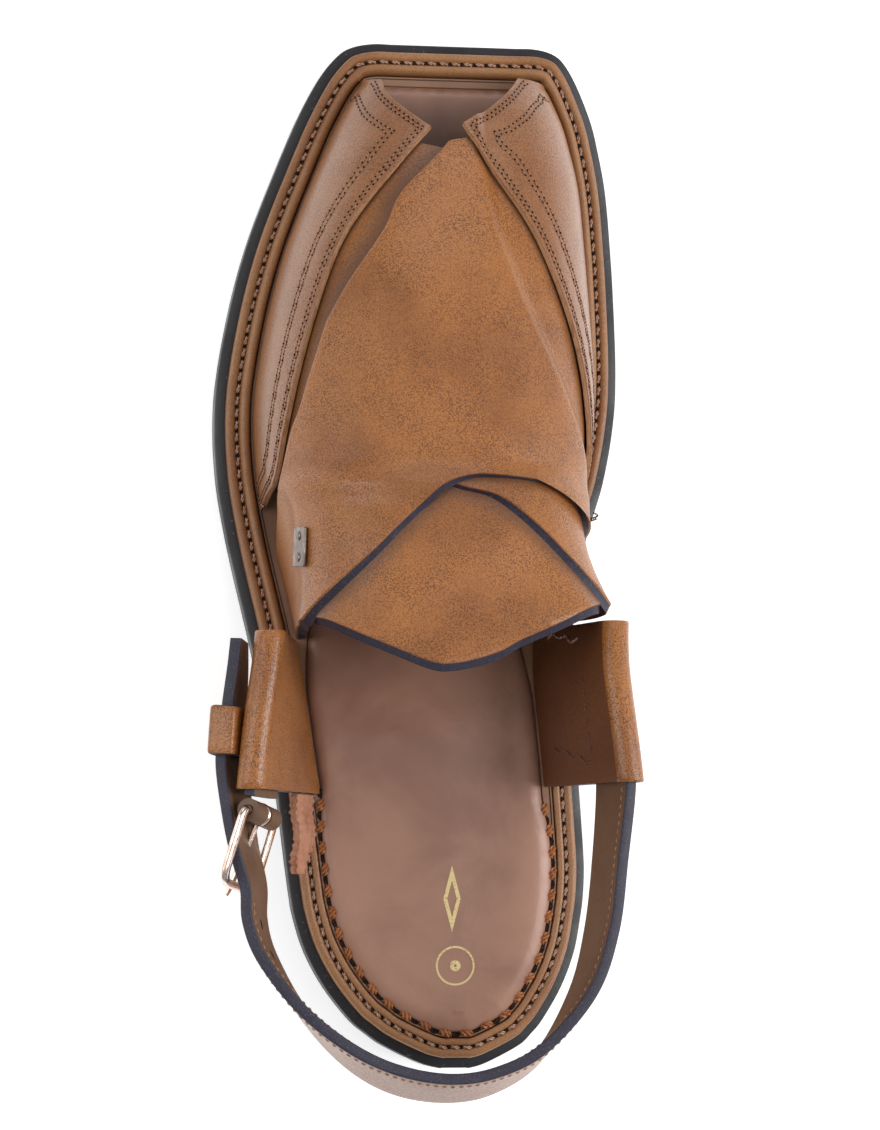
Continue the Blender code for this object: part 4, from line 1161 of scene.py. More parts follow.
    def make_footbed(self) -> bpy.types.Object:
        """The padded footbed, rolled at its edge and scalloped across the toe."""
        insets = (0.0, 0.0002, 0.0006, 0.0012, 0.0020, 0.0031, 0.0045, 0.0062)
        rings = []
        for extra in insets:
            ring = SOLE.ring(lambda along, e=extra: SOLE.bed_edge(along) + e, self.steps, self.across)
            scallop = self.scallop_depth * np.abs(np.sin(ring[:, 0] * self.scallop_turns))
            scallop *= smooth((ring[:, 1] - self.scallop_from) / 0.002)
            ring = ring - np.column_stack([0 * scallop, scallop * (1 - extra / insets[-1])])
            height = self.bed_height(ring[:, 0], ring[:, 1], np.full(len(ring), extra))
            rings.append(np.column_stack([ring, height]))
        foot = rings[0] - np.array([0.0, 0.0, 0.0012])
        draft = MeshDraft()
        levels = [foot, *rings]
        start = draft.put(np.vstack(levels))
        draft.rings(start, len(levels), len(foot), slots=(1, 0))
        inner = insets[-1]

        def relief(x: Array, y: Array, share: Array) -> Array:
            width = 0.5 * abs(x[-1] - x[0]) / (1 - 2 / self.across)
            side = np.minimum(share, 1 - share) * 2 * width
            ends = np.minimum(y - (SOLE.y_of(0.0) + 0.012), SOLE.y_of(1.0) - 0.0138 - y)
            away = np.minimum(side, np.maximum(ends, 0.0)) + inner
            edge = self.bed_height(x, y, np.full_like(x, inner))
            return self.bed_height(x, y, away) - edge

        self.fill(draft, start, foot, 1)
        self.fill(draft, start + (len(levels) - 1) * len(foot), rings[-1], 0, relief)
        thing = draft.build("footbed", [Surface.FOOTBED, Surface.PINK_EDGE], 60.0)
        # painted shade across the toe opening, where the straps over it shade the footbed
        x = np.linspace(-0.040, 0.045, 40)
        y = np.full(40, self.toe_shade)
        paint_shade(thing, np.stack([x, y, SOLE.rim(y) + SOLE.bed_rise], 1), 0.020, 0.70)
        return thing

    def sew_seat(self) -> None:
        """The heavy copper coloured hand stitch round the heel seat."""
        places, ahead = self.seam(lambda along: SOLE.bed_edge(along) - 0.0001,
                                  lambda y: SOLE.rim(y) + 0.0002, self.seat_pitch)
        keep = SOLE.along_of(places[:, 1]) < self.seat_end
        places, ahead = places[keep], ahead[keep]
        up = np.tile([0.0, 0.0, 1.0], (len(places), 1))
        half = 0.30 * self.seat_pitch
        thread = Stitching(radius=0.00095, turns=1.2, rings=9, sides=8, sink=0.35, slant=0.0008)
        sewn = thread.stitches("seat_stitches", places - ahead * half, places + ahead * half, up,
                               Surface.SEAT_THREAD)
        between = places + ahead * 0.5 * self.seat_pitch
        gaps = thread.holes("seat_needle_holes", between + up * 0.0001, up, ahead, 0.00135, 0.00085)

    def stamp_foil(self) -> bpy.types.Object:
        """A plain stamped mark on the heel seat: a ring with a dot, and a slim lozenge above it."""
        draft = MeshDraft()

        def lay(flat: Array, faces: Sequence[Sequence[int]]) -> None:
            edge_outer, edge_inner = (SOLE.side_line(SOLE.bed_edge, s) for s in (-1, 1))
            away = np.minimum(flat[:, 0] - np.interp(flat[:, 1], edge_outer[:, 1], edge_outer[:, 0]),
                              np.interp(flat[:, 1], edge_inner[:, 1], edge_inner[:, 0]) - flat[:, 0])
            away = np.minimum(away, flat[:, 1] - SOLE.y_of(0.0) - 0.0055)
            z = self.bed_height(flat[:, 0], flat[:, 1], away)
            faces_at = [np.column_stack([flat, z + rise]) for rise in (0.0001, -0.0002)]
            start = draft.put(np.vstack(faces_at))
            count = len(flat)
            for face in faces:
                draft.face([start + f for f in face])
                draft.face([start + count + f for f in reversed(face)])

        def band(middle: tuple[float, float], radii: tuple[Array, Array], turns: Array) -> None:
            ring = [np.column_stack([middle[0] + r * np.sin(turns), middle[1] + r * np.cos(turns)])
                    for r in radii]
            count = len(turns)
            faces = [(j, (j + 1) % count, count + (j + 1) % count, count + j) for j in range(count)]
            lay(np.vstack(ring), faces)
            start = draft.count - 4 * count
            for j in range(count):
                k = (j + 1) % count
                for first in (start, start + count):
                    draft.face((first + j, first + k, first + 2 * count + k, first + 2 * count + j))

        turns = circle(48)
        even = np.ones_like(turns)
        for outer, inner in ((0.0058, 0.0052), (0.0016, 0.0004)):
            band(self.mark, (outer * even, inner * even), turns)
        reach = 1.0 / (np.abs(np.cos(turns)) / 0.0098 + np.abs(np.sin(turns)) / 0.0026)
        band(self.lozenge, (reach, 0.55 * reach), turns)
        thing = draft.build("foil_mark", [Surface.FOIL], 60.0)
        return thing

    def build(self) -> None:
        """Make and dress the whole sole unit."""
        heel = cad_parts["heel"]
        heel.data.materials.clear()
        heel.data.materials.append(Surface.HEEL.material())
        for make in (self.make_outsole, self.make_welt, self.sew_welt, self.make_rim, self.make_footbed,
                     self.sew_seat, self.stamp_foil):
            make()
            LOG.info("sole unit: %s", make.__name__)


class EdgeKind(Enum):
    """How the edge of a strap is finished."""

    CUT = ((0.0, 0.80), (0.12, 0.94), (0.35, 1.0))
    TURNED = ((0.0, 0.12), (0.08, 0.50), (0.30, 0.80), (0.70, 0.95), (1.20, 1.0))


@dataclass
class Strap:
    """A strap or panel that lies on the last, between its toe edge and its heel edge."""

    name: str
    strips: Sequence
    lift: Lift
    thick: float
    across: int
    surface: Surface
    front_edge: EdgeKind = EdgeKind.TURNED
    back_edge: EdgeKind = EdgeKind.CUT
    front_slot: int = 0
    back_slot: int = 1
    end_slots: tuple[int, int] = (1, 1)
    creases: tuple[Crease, ...] = ()
    finer: int = 5
    slant: float = 0.0017

    def grid(self, last: Last) -> tuple[tuple[Array, Array], tuple[Array, Array], Array]:
        """Rows and columns over the strap.

        Args:
            last: the foot shape.

        Returns:
            Along and girth of each point of the inside and of the outside, and the share of the
            full thickness there.
        """
        front, back = [], []
        for edge_front, edge_back, count in self.strips:
            front.append(even_points(edge_front, count * self.finer, SOLE.weights)[0 if not front else 1:])
            back.append(even_points(edge_back, count * self.finer, SOLE.weights)[0 if not back else 1:])
        front, back = np.vstack(front), np.vstack(back)
        probe = np.linspace(0, 1, 24)[None, :, None]
        line = front[:, None] * (1 - probe) + back[:, None] * probe
        width = np.linalg.norm(np.diff(last.point(line[..., 0], line[..., 1]), axis=1), axis=2).sum(1)
        lead = [d * 0.001 for d, _ in self.front_edge.value]
        tail = [d * 0.001 for d, _ in self.back_edge.value]
        close = np.minimum(1.0, 0.35 * width / (lead[-1] + tail[-1]))
        starts = [close * d / width for d in lead]
        ends = [1 - close * d / width for d in reversed(tail)]
        spread = [starts[-1] + (ends[0] - starts[-1]) * k / self.across for k in range(1, self.across)]
        share = np.stack([*starts, *spread, *ends], 1)
        profile = [p for _, p in self.front_edge.value] + [1.0] * (self.across - 1)
        profile += [p for _, p in reversed(self.back_edge.value)]
        slant = self.slant * smooth((1 - np.abs(back[:, 1])) / 0.06) / width
        grids = []
        for part in (share, share * (1 - slant[:, None])):
            flat = front[:, None] * (1 - part[..., None]) + back[:, None] * part[..., None]
            grids.append((flat[..., 0], flat[..., 1]))
        return grids[0], grids[1], np.broadcast_to(np.array(profile), share.shape)

    def waves(self, last: Last, along: Array, girth: Array) -> Array:
        """Height that the creases add at each along and girth."""
        place = last.point(along, girth)
        flat = np.zeros(along.shape)
        return sum((crease.lift(place[..., 0], place[..., 1]) for crease in self.creases), flat)

    def build(self, last: Last, relief: Lift | None = None) -> bpy.types.Object:
        """Make the strap.

        Args:
            last: the foot shape that it lies on.
            relief: height added to the upper face at each along and girth.

        Returns:
            The object.
        """
        lower, upper, profile = self.grid(last)
        below = self.lift(*lower) + self.waves(last, *lower) + 0.35 * self.thick * (1 - profile)
        extra = relief(*upper) if relief else 0.0
        above = self.lift(*upper) + self.waves(last, *upper) + self.thick * profile + extra
        slots = (0, 2, self.front_slot, self.back_slot, *self.end_slots)
        draft = sheet_draft(last.lifted(*lower, below), last.lifted(*upper, above), slots)
        thing = draft.build(self.name, [self.surface, Surface.EDGE, Surface.LINING, Surface.RAW_EDGE])
        LOG.info("strap: %s", self.name)
        return thing


# Shares of the sole's length at which the legs of strap A and strap B end towards the heel
A_END = 0.4130
B_END = 0.4265


@dataclass
class Vamp:
    """The upper: strap A over strap B over the tongue, and the two stitched side panels."""

    last: Last
    strap_a_thick: float = 0.0030
    strap_b_thick: float = 0.0028
    tongue_thick: float = 0.0026
    panel_thick: float = 0.0017
    lap: float = 0.0006
    lay_clear: float = 0.0006
    tongue_front: float = 0.530
    tongue_side: float = 0.58
    seam_rows: tuple[float, ...] = (0.0017, 0.0029, 0.0085, 0.0101)
    rear_rows: tuple[float, ...] = (0.0017, 0.0029, 0.0062, 0.0078)
    stitch_pitch: float = 0.0019
    strap_a: tuple = (
        (((0.880, -0.08), (0.831, -0.256), (0.791, -0.300), (0.740, -0.408), (0.704, -0.476)),
         ((0.915, 1.0), (0.500, 1.0)), 12),
        (((0.704, -0.476), (0.662, -0.516), (0.625, -0.560), (0.604, -0.604), (0.575, -0.655),
          (0.552, -0.715)),
         ((0.500, 1.0), (0.497, 0.78), (0.509, 0.62), (0.533, 0.53), (0.546, 0.42), (0.551, 0.20),
          (0.548, 0.10), (0.534, 0.0), (0.499, -0.184), (0.456, -0.380), (A_END, -0.57)), 17),
        (((0.552, -0.715), (0.535, -0.80), (0.515, -0.90), (0.500, -1.0)),
         ((A_END, -0.57), (A_END, -1.0)), 4))
    strap_b: tuple = (
        (((0.872, 0.05), (0.80, 0.13), (0.70, 0.30), (0.62, 0.46)), ((0.910, -1.0), (0.556, -1.0)), 11),
        (((0.62, 0.46), (0.56, 0.62), (0.535, 0.76)),
         ((0.556, -1.0), (0.560, -0.85), (0.563, -0.70), (0.562, -0.50), (0.556, -0.25), (0.550, -0.05),
          (0.541, 0.064), (0.530, 0.20), (0.492, 0.356), (0.443, 0.488), (B_END, 0.53)), 15),
        (((0.535, 0.76), (0.522, 0.88), (0.515, 0.98)), ((B_END, 0.53), (B_END, 0.98)), 4))
    tongue: tuple = (
        (((0.556, -0.45), (0.556, 0.45)),
         ((0.4165, -0.58), (0.4130, -0.50), (0.408, -0.44), (0.394, -0.31), (0.373, -0.10), (0.371, 0.03),
          (0.381, 0.16), (0.396, 0.236), (0.418, 0.376), (0.4270, 0.47), (0.4300, 0.58)), 14),)
    panel_outer: tuple = (
        (((0.947, -0.616), (0.921, -0.40), (0.895, -0.172)), ((0.950, -1.0), (0.925, -1.0)), 4),
        (((0.895, -0.172), (0.861, -0.288), (0.792, -0.456), (0.707, -0.540), (0.630, -0.605), (0.575, -0.69),
          (0.556, -0.76)), ((0.925, -1.0), (0.556, -1.0)), 14),
        (((0.556, -0.76), (0.547, -0.88), (0.541, -1.0)), ((0.556, -1.0), (0.5445, -1.0)), 3))
    panel_inner: tuple = (
        (((0.951, 0.480), (0.924, 0.25), (0.894, 0.0)), ((0.951, 1.0), (0.925, 1.0)), 4),
        (((0.894, 0.0), (0.844, 0.192), (0.787, 0.376), (0.703, 0.54), (0.62, 0.64), (0.57, 0.74)),
         ((0.925, 1.0), (0.570, 1.0)), 14),
        (((0.57, 0.74), (0.545, 0.88), (0.530, 1.0)), ((0.570, 1.0), (0.535, 1.0)), 4))
    creases_a: tuple[Crease, ...] = (
        Crease((-0.030, 0.150), (0.020, 0.165), 0.016, -0.0005),
        Crease((-0.026, 0.190), (0.022, 0.200), 0.014, 0.0004),
        Crease((0.010, 0.128), (0.036, 0.138), 0.008, -0.0004),
        Crease((-0.046, 0.128), (-0.034, 0.110), 0.006, 0.0004))
    creases_tongue: tuple[Crease, ...] = (
        Crease((-0.030, 0.092), (0.026, 0.098), 0.007, -0.0005),
        Crease((-0.012, 0.083), (0.016, 0.084), 0.005, 0.0004))

    def tongue_share(self, along: Array, girth: Array) -> Array:
        """1 over the tongue, falling to 0 beyond its front and sides."""
        front = smooth((self.tongue_front + 0.038 - along) / 0.030)
        return front * smooth((self.tongue_side + 0.12 - np.abs(girth)) / 0.12)

    def strap_b_share(self, along: Array, girth: Array) -> Array:
        """1 over strap B, falling to 0 beyond its heel edge and its inner edge."""
        heel_edge = np.array(sorted((g, a) for a, g in self.strap_b[1][1]))
        inner_edge = np.array(sorted([row for strip in self.strap_b for row in strip[0]]))
        behind = np.interp(girth, heel_edge[:, 0], heel_edge[:, 1])
        inside = np.interp(along, inner_edge[:, 0], inner_edge[:, 1])
        return smooth((along - behind + 0.034) / 0.026) * smooth((inside - girth + 0.095) / 0.075)

    def lift_tongue(self, along: Array, girth: Array) -> Array:
        """The tongue lies on the foot."""
        return np.zeros(np.broadcast(along, girth).shape)

    def lift_b(self, along: Array, girth: Array) -> Array:
        """Strap B lies on the foot and climbs over the tongue."""
        return (self.tongue_thick - self.lap) * self.tongue_share(along, girth)

    def lift_a(self, along: Array, girth: Array) -> Array:
        """Strap A climbs over the tongue and over strap B."""
        return self.lift_b(along, girth) + (self.strap_b_thick - self.lap) * self.strap_b_share(along, girth)

    def lift_panel_outer(self, along: Array, girth: Array) -> Array:
        """The outer panel lies on strap B."""
        return self.lift_b(along, girth) + self.strap_b_thick + self.lay_clear

    def lift_panel_inner(self, along: Array, girth: Array) -> Array:
        """The inner panel lies on strap A."""
        return self.lift_a(along, girth) + self.strap_a_thick + self.lay_clear

    def on_panel(self, lift: Lift, flat: Array) -> Array:
        """Places on a panel's upper face."""
        return self.last.lifted(flat[:, 0], flat[:, 1], lift(flat[:, 0], flat[:, 1]) + self.panel_thick)

    def moved_in(self, lift: Lift, edge: Array, inward: Array, away: float) -> Array:
        """A panel's edge moved in over its face by a real distance.

        Args:
            lift: the panel's lift.
            edge: along and girth of the edge.
            inward: a point inside the panel, as along and girth.
            away: the distance.

        Returns:
            Along and girth of the moved run.
        """
        step = 1e-3
        edge = np.clip(edge, (0.0, -0.995), (1.0, 0.995))
        here = self.on_panel(lift, edge)
        by_along, by_girth = (
            (self.on_panel(lift, edge + move) - self.on_panel(lift, edge - move)) / (2 * step)
            for move in (np.array([step, 0.0]), np.array([0.0, step])))
        travel = unit(np.gradient(here, axis=0))
        out = []
        for n in range(len(edge)):
            frame_2d = np.stack([by_along[n], by_girth[n]], 1)
            normal = unit(np.cross(by_along[n], by_girth[n]))
            side = np.cross(normal, travel[n])
            toward = frame_2d @ (inward - edge[n])
            side = side if side @ toward > 0 else -side
            out.append(edge[n] + np.linalg.lstsq(frame_2d, side * away, rcond=None)[0])
        return np.clip(out, (0.0, -0.999), (1.0, 0.999))

    def seam_lines(self, strips: Sequence, lift: Lift, inward: Array) -> list[Array]:
        """The rows of stitching inside a panel's front, long and rear edges, as along and girth."""
        front, long_edge, rear = (even_points(strip[0], 90, SOLE.weights) for strip in strips)
        lines = []
        for away, rear_away in zip(self.seam_rows, self.rear_rows):
            run = self.moved_in(lift, front, inward, away)
            for edge, distance in ((long_edge, away), (rear, rear_away)):
                other = self.moved_in(lift, edge, inward, distance)
                gap = np.linalg.norm((run[:, None] - other[None]) * SOLE.weights, axis=2)
                i, j = np.unravel_index(gap.argmin(), gap.shape)
                run = np.vstack([run[:i + 1], other[j:]])
            lines.append(run)
        return lines

    def sew_panel(self, name: str, strips: Sequence, lift: Lift, inward: Array) -> None:
        """Sew the double rows of a panel with fine thread between pinholes.

        Args:
            name: start of the pieces' names.
            strips: the panel's strips.
            lift: the panel's lift.
            inward: a point inside the panel, as along and girth.
        """
        starts, ends, normals, aheads = [], [], [], []
        for line in self.seam_lines(strips, lift, inward):
            run = walk(np.column_stack([self.on_panel(lift, line), line]), self.stitch_pitch)
            flat = run[:, 3:]
            solid = self.on_panel(lift, flat)
            starts.append(solid)
            ends.append(np.vstack([solid[1:], solid[-1:]]))
            normals.append(self.last.normal(flat[:, 0], flat[:, 1]))
            aheads.append(unit(np.gradient(solid, axis=0)))
        start, end, normal, ahead = (np.vstack(part) for part in (starts, ends, normals, aheads))
        gap = end - start
        kept = np.linalg.norm(gap, axis=1) > 0.5 * self.stitch_pitch
        thread = Stitching(radius=0.00021, strands=1, rings=5, sides=6, sink=0.7)
        sewn = thread.stitches(f"{name}_stitches", (start + 0.2 * gap)[kept], (end - 0.2 * gap)[kept],
                               normal[kept], Surface.PANEL_THREAD)
        holes = thread.holes(f"{name}_needle_holes", start, normal, ahead, 0.00034, 0.00026)

    def seam_trough(self, lift: Lift, lines: Sequence[Array]) -> Lift:
        """A relief that sinks a panel's face a little along its seams.

        Args:
            lift: the panel's lift.
            lines: along and girth of each row of stitches.

        Returns:
            Height added at each along and girth.
        """
        sewn = np.vstack([self.on_panel(lift, line) for line in lines])

        def relief(along: Array, girth: Array) -> Array:
            flat = np.stack([along.ravel(), girth.ravel()], 1)
            here = self.on_panel(lift, flat)
            away = np.min([np.linalg.norm(here - spot, axis=1) for spot in sewn[::4]], axis=0)
            return (-0.00022 * np.exp(-(away / 0.0011) ** 2)).reshape(along.shape)

        return relief

    def build(self) -> None:
        """Make and dress the straps and panels."""
        last = self.last
        straps = (
            Strap("tongue", self.tongue, self.lift_tongue, self.tongue_thick, 34, Surface.UPPER,
                  creases=self.creases_tongue),
            Strap("strap_b", self.strap_b, self.lift_b, self.strap_b_thick, 70, Surface.UPPER),
            Strap("strap_a", self.strap_a, self.lift_a, self.strap_a_thick, 80, Surface.UPPER,
                  creases=self.creases_a))
        # painted shade on each strap along the edges of the pieces that lie over it, standing in for their
        # contact shadows
        edges = {
            "tongue": ((self.strap_a, 1, self.lift_a, 0.0030), (self.strap_b, 1, self.lift_b, 0.0030)),
            "strap_b": ((self.strap_a, 0, self.lift_a, 0.0060), (self.strap_a, 1, self.lift_a, 0.0025),
                        (self.panel_outer, 0, self.lift_panel_outer, 0.0016)),
            "strap_a": ((self.panel_inner, 0, self.lift_panel_inner, 0.0016),)}
        for strap in straps:
            thing = strap.build(last)
            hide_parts("upper")
            for strips, edge, lift, reach in edges[strap.name]:
                run = np.vstack([even_points(strip[edge], 60, np.array([1.0, 0.3])) for strip in strips])
                paint_shade(thing, last.lifted(run[:, 0], run[:, 1], lift(run[:, 0], run[:, 1])), reach, 0.75)
        panels = (
            ("panel_lateral", self.panel_outer, self.lift_panel_outer, np.array([0.72, -0.85]), (0, 1)),
            ("panel_medial", self.panel_inner, self.lift_panel_inner, np.array([0.72, 0.85]), (1, 1)))
        for name, strips, lift, inward, ends in panels:
            relief = self.seam_trough(lift, self.seam_lines(strips, lift, inward))
            panel = Strap(f"{name}_leather", strips, lift, self.panel_thick, 44, Surface.PANEL, EdgeKind.CUT,
                          front_slot=3, end_slots=ends, slant=0.0)
            thing = panel.build(last, relief)
            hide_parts(name)
            self.sew_panel(name, strips, lift, inward)
            LOG.info("upper: %s sewn", name)


@dataclass
class Sweep:
    """A flat band swept along a route, with rounded corners."""

    width: float
    thick: float
    corner: float = 0.0007

    def profile(self, flat: int = 9) -> tuple[Array, list[int]]:
        """The band's section: offsets across its thickness and its width, and a slot for each side of it."""
        half_thick, half_width, r = self.thick / 2, self.width / 2, self.corner
        marks, slots = [], []
        for s, u, first in ((1, -1, -90), (1, 1, 0), (-1, 1, 90), (-1, -1, 180)):
            for turn in np.radians(first + np.array([0.0, 30.0, 60.0, 90.0])):
                marks.append((s * (half_thick - r) + r * math.cos(turn),
                              u * (half_width - r) + r * math.sin(turn)))
                slots.append(2)
            slots[-1] = 0 if first == -90 else 2 if first in (0, 180) else 1
            if first in (-90, 90):
                a, b = s * half_thick, (half_width - r) * u
                for share in np.arange(1, flat) / flat:
                    marks.append((a, b - 2 * b * share))
                    slots.append(slots[-1])
        return np.array(marks), slots

    def frames(self, rows: Sequence, count: int) -> list[tuple[Vector, Vector, Vector, Vector]]:
        """Place, travel, up and side at even steps of a route of places and leans."""
        fine = even_points(rows, count, np.array([1.0, 1.0, 1.0, 0.0]))
        places = [Vector(row[:3]) for row in fine]
        out = []
        for i, place in enumerate(places):
            travel = (places[min(i + 1, count)] - places[max(i - 1, 0)]).normalized()
            outward = Vector((-travel.y, travel.x, 0.0)).normalized()
            level = (outward - travel * outward.dot(travel)).normalized()
            lean = math.radians(fine[i][3])
            up = Vector((0, 0, 1)) * math.cos(lean) + level * math.sin(lean)
            out.append((place, travel, up, travel.cross(up).normalized()))
        return out

    def draft(self, frames: Sequence) -> MeshDraft:
        """Skin the band along the route that frames() gives."""
        marks, slots = self.profile()
        draft = MeshDraft()
        draft.tube([np.array(place) + np.outer(marks[:, 0], side) + np.outer(marks[:, 1], up)
                    for place, _, up, side in frames], slots, 2)
        return draft


@dataclass
class HeelFastening:
    """Side loops, raw tail, heel strap, buckle, keeper and the small plate."""

    last: Last
    vamp: Vamp
    loop_wall: float = 0.0022
    tunnel_low: float = 0.0265
    flap_low: float = 0.0080
    strap_width: float = 0.0200
    strap_thick: float = 0.0033
    strap_height: float = 0.0600
    slide_clear: float = 0.00045
    bar: float = 0.0013
    pin: float = 0.0009
    reach: float = 0.0215
    standoff: float = 0.0040
    turn: float = 0.25
    rise: float = 0.03
    strap_pass: float = 0.0016
    strap_cross: float = 0.0012
    strap_drop: float = 0.15
    keeper_wall: float = 0.0016
    keeper_length: float = 0.0140
    keeper_along: float = 0.315
    tail_length: float = 0.0230
    tail_width: float = 0.0190
    tail_thick: float = 0.0020
    plate_length: float = 0.0115
    plate_width: float = 0.0065
    plate_thick: float = 0.0012
    front: dict = field(default_factory=lambda: {-1: 0.4095, 1: 0.4225})
    rear: dict = field(default_factory=lambda: {-1: 0.2620, 1: 0.2700})
    lean: dict = field(default_factory=lambda: {-1: (0.20, 0.50), 1: (0.27, 0.28)})
    # along, height up the inner loop's wall
    hand_stitch: tuple[tuple[float, float], ...] = (
        (0.307, 0.009), (0.300, 0.013), (0.304, 0.017), (0.295, 0.021), (0.299, 0.025), (0.289, 0.029),
        (0.291, 0.034))
    loose_end: tuple[tuple[float, float], ...] = (
        (0.412, 0.010), (0.417, 0.014), (0.411, 0.018), (0.413, 0.023), (0.405, 0.026), (0.409, 0.031))
    # across, along, rise in strap widths, lean in degrees outward
    heel_route: tuple[tuple[float, float, float, float], ...] = (
        (0.366, 0.072, -0.02, 12.0), (0.345, 0.006, 0.00, 11.0), (0.300, -0.052, 0.01, 5.0),
        (0.200, -0.108, 0.02, -10.0), (0.090, -0.134, 0.02, -17.0), (-0.022, -0.141, 0.02, -18.0),
        (-0.145, -0.132, 0.01, -16.0), (-0.255, -0.108, 0.00, -8.0), (-0.360, -0.068, -0.02, 4.0),
        (-0.440, -0.020, -0.05, 14.0), (-0.468, 0.014, -0.10, 19.0))

    def __post_init__(self) -> None:
        """Fit the line that the loops stand on."""
        self.feet = {side: SOLE.side_line(SOLE.loop_inset, side) for side in (-1, 1)}

    @property
    def gap(self) -> float:
        """Width of a loop's tunnel."""
        return self.strap_thick + 2 * self.slide_clear

    @property
    def tall(self) -> float:
        """Height of a loop's tunnel."""
        return self.strap_width + 2 * self.slide_clear

    def frame_at(self, side: int, along: float) -> tuple[Array, Array, Array]:
        """Foot of a loop's inner face, its direction up the wall and its direction outward."""
        y = float(SOLE.y_of(along))
        line = self.feet[side]
        foot = np.array([np.interp(y, line[:, 1], line[:, 0]), y, float(SOLE.rim(y)) + SOLE.clear])
        share = (along - self.rear[side]) / (self.front[side] - self.rear[side])
        lean = self.lean[side][1] + (self.lean[side][0] - self.lean[side][1]) * share
        up = np.array([side * lean, 0.0, 1.0]) / math.hypot(lean, 1.0)
        out = np.array([side * up[2], 0.0, -side * up[0]])
        foot[2] += self.last.stand_clear - SOLE.clear + self.loop_wall * abs(up[0])
        return foot, up, out

    def level(self, side: int, along: float) -> float:
        """Distance up a loop's wall to the middle of its tunnel."""
        return self.tunnel_low + 0.5 * self.tall + 0.004 * (1.0 - along / self.front[side])

    def tunnel(self, side: int, along: float, beyond: float = 0.0) -> Vector:
        """Middle of a loop's tunnel, or a point this far outside it."""
        foot, up, out = self.frame_at(side, along)
        return Vector(foot + up * self.level(side, along) + out * (self.loop_wall + 0.5 * self.gap + beyond))

    def lean_at(self, side: int, along: float) -> float:
        """Lean of a loop's wall in degrees."""
        _, up, _ = self.frame_at(side, along)
        return math.degrees(math.atan(abs(up[0]) / up[2]))

    def bars(self) -> tuple[Vector, Vector]:
        """Middles of the buckle's front and rear bars."""
        rear, ahead = (self.tunnel(-1, self.rear[-1] + d) for d in (0.0, 0.03))
        back = (rear - ahead).normalized()
        front = rear + back * (self.bar + 0.5 * self.strap_thick + self.standoff)
        turned = (back + Vector((-self.turn, 0.0, self.rise))).normalized()
        return front, front + turned * self.reach

    def axes(self) -> tuple[Vector, Vector, Vector]:
        """The buckle's directions: front bar to rear bar, up its bars, and outward."""
        front, rear = self.bars()
        reach = (rear - front).normalized()
        level = Vector((reach.y, -reach.x, 0.0)).normalized()
        tilt = math.atan(self.lean[-1][1])
        level = (level - reach * level.dot(reach)).normalized()
        up = Vector((0, 0, 1)) * math.cos(tilt) + level * math.sin(tilt)
        up = (up - reach * up.dot(reach)).normalized()
        out = reach.cross(up).normalized()
        return reach, up, -out if out.x > 0 else out

    def free_offset(self) -> float:
        """How far outside the tunnel's middle the strap's free end lies."""
        side = 0.5 * self.gap + self.loop_wall
        return side + self.keeper_wall + SOLE.clear + 3.5 * self.slide_clear + 0.5 * self.strap_thick

    def route(self) -> list[tuple[float, ...]]:
        """Middle line of the heel strap with its lean."""
        rows = [(*self.tunnel(1, a), self.lean_at(1, a)) for a in (0.415, 0.36, 0.31, self.rear[1])]
        for across, along, rise, lean in self.heel_route:
            height = self.strap_height + rise * self.strap_width
            rows.append((across * SOLE.ball_width, along * SOLE.length, height, lean))
        front, rear = self.bars()
        rows.append((*(rear + Vector((self.bar + 0.5 * self.strap_thick + self.strap_pass, 0.0, 0.0))), 21.0))
        rows.append((*((rear + front) / 2 + Vector((-self.strap_cross, 0.0, 0.0))), 23.0))
        over = self.bar + 2 * SOLE.clear + self.strap_thick + 2 * self.slide_clear
        rows.append((*(front + Vector((-1.0, 0.0, -self.strap_drop)) * over), 25.0))
        for along in (0.285, 0.315, 0.345, 0.375, 0.402):
            rows.append((*self.tunnel(-1, along, self.free_offset()), self.lean_at(-1, along)))
        return rows

    def loop_section(self, side: int, along: float, hole: bool) -> tuple[Array, list[int]]:
        """Section of a loop or of its tunnel, made fine, with a slot for each of its runs."""
        foot, up, out = self.frame_at(side, along)
        gap, wall, middle = self.gap, self.loop_wall, self.level(side, along)
        low, high = middle - 0.5 * self.tall, middle + 0.5 * self.tall
        if hole:
            marks = [(wall, low), (wall, high), (wall + gap, high), (wall + gap, low)]
            kinds = [1] * 4
        else:
            radius = wall + 0.5 * gap
            centre = high + wall - radius
            share = (along - self.rear[side]) / (self.front[side] - self.rear[side])
            bow = 0.0007 * math.sin(math.pi * np.clip(share, 0, 1))
            marks, kinds = [(wall, 0.0), (0.0, 0.0)], [2, 1]
            for w in np.linspace(0.0, centre, 14)[1:]:
                marks.append((-0.3 * bow * math.sin(math.pi * w / centre), w))
                kinds.append(1)
            for angle in np.radians(np.arange(168, 0, -12)):
                marks.append((radius + radius * math.cos(angle), centre + radius * math.sin(angle)))
                kinds.append(0)
            for w in np.linspace(centre, low, 12):
                marks.append((2 * radius + bow * math.sin(math.pi * (centre - w) / (centre - low)), w))
                kinds.append(0)
            a, b = np.array([2 * wall, low - gap]), np.array([2 * radius, low])
            for t in (0.25, 0.5, 0.75, 1.0):
                marks.append(tuple(b + (a - b) * smooth(t)))
                kinds.append(0)
            for w in np.linspace(low - gap, self.flap_low + 0.0004, 8)[1:]:
                marks.append((2 * wall, w))
                kinds.append(0)
            marks += [(2 * wall - 0.0004, self.flap_low), (wall, self.flap_low)]
            kinds[-1] = 2
            kinds += [2, 2]
        return np.array([foot + out * n + up * w for n, w in marks]), kinds

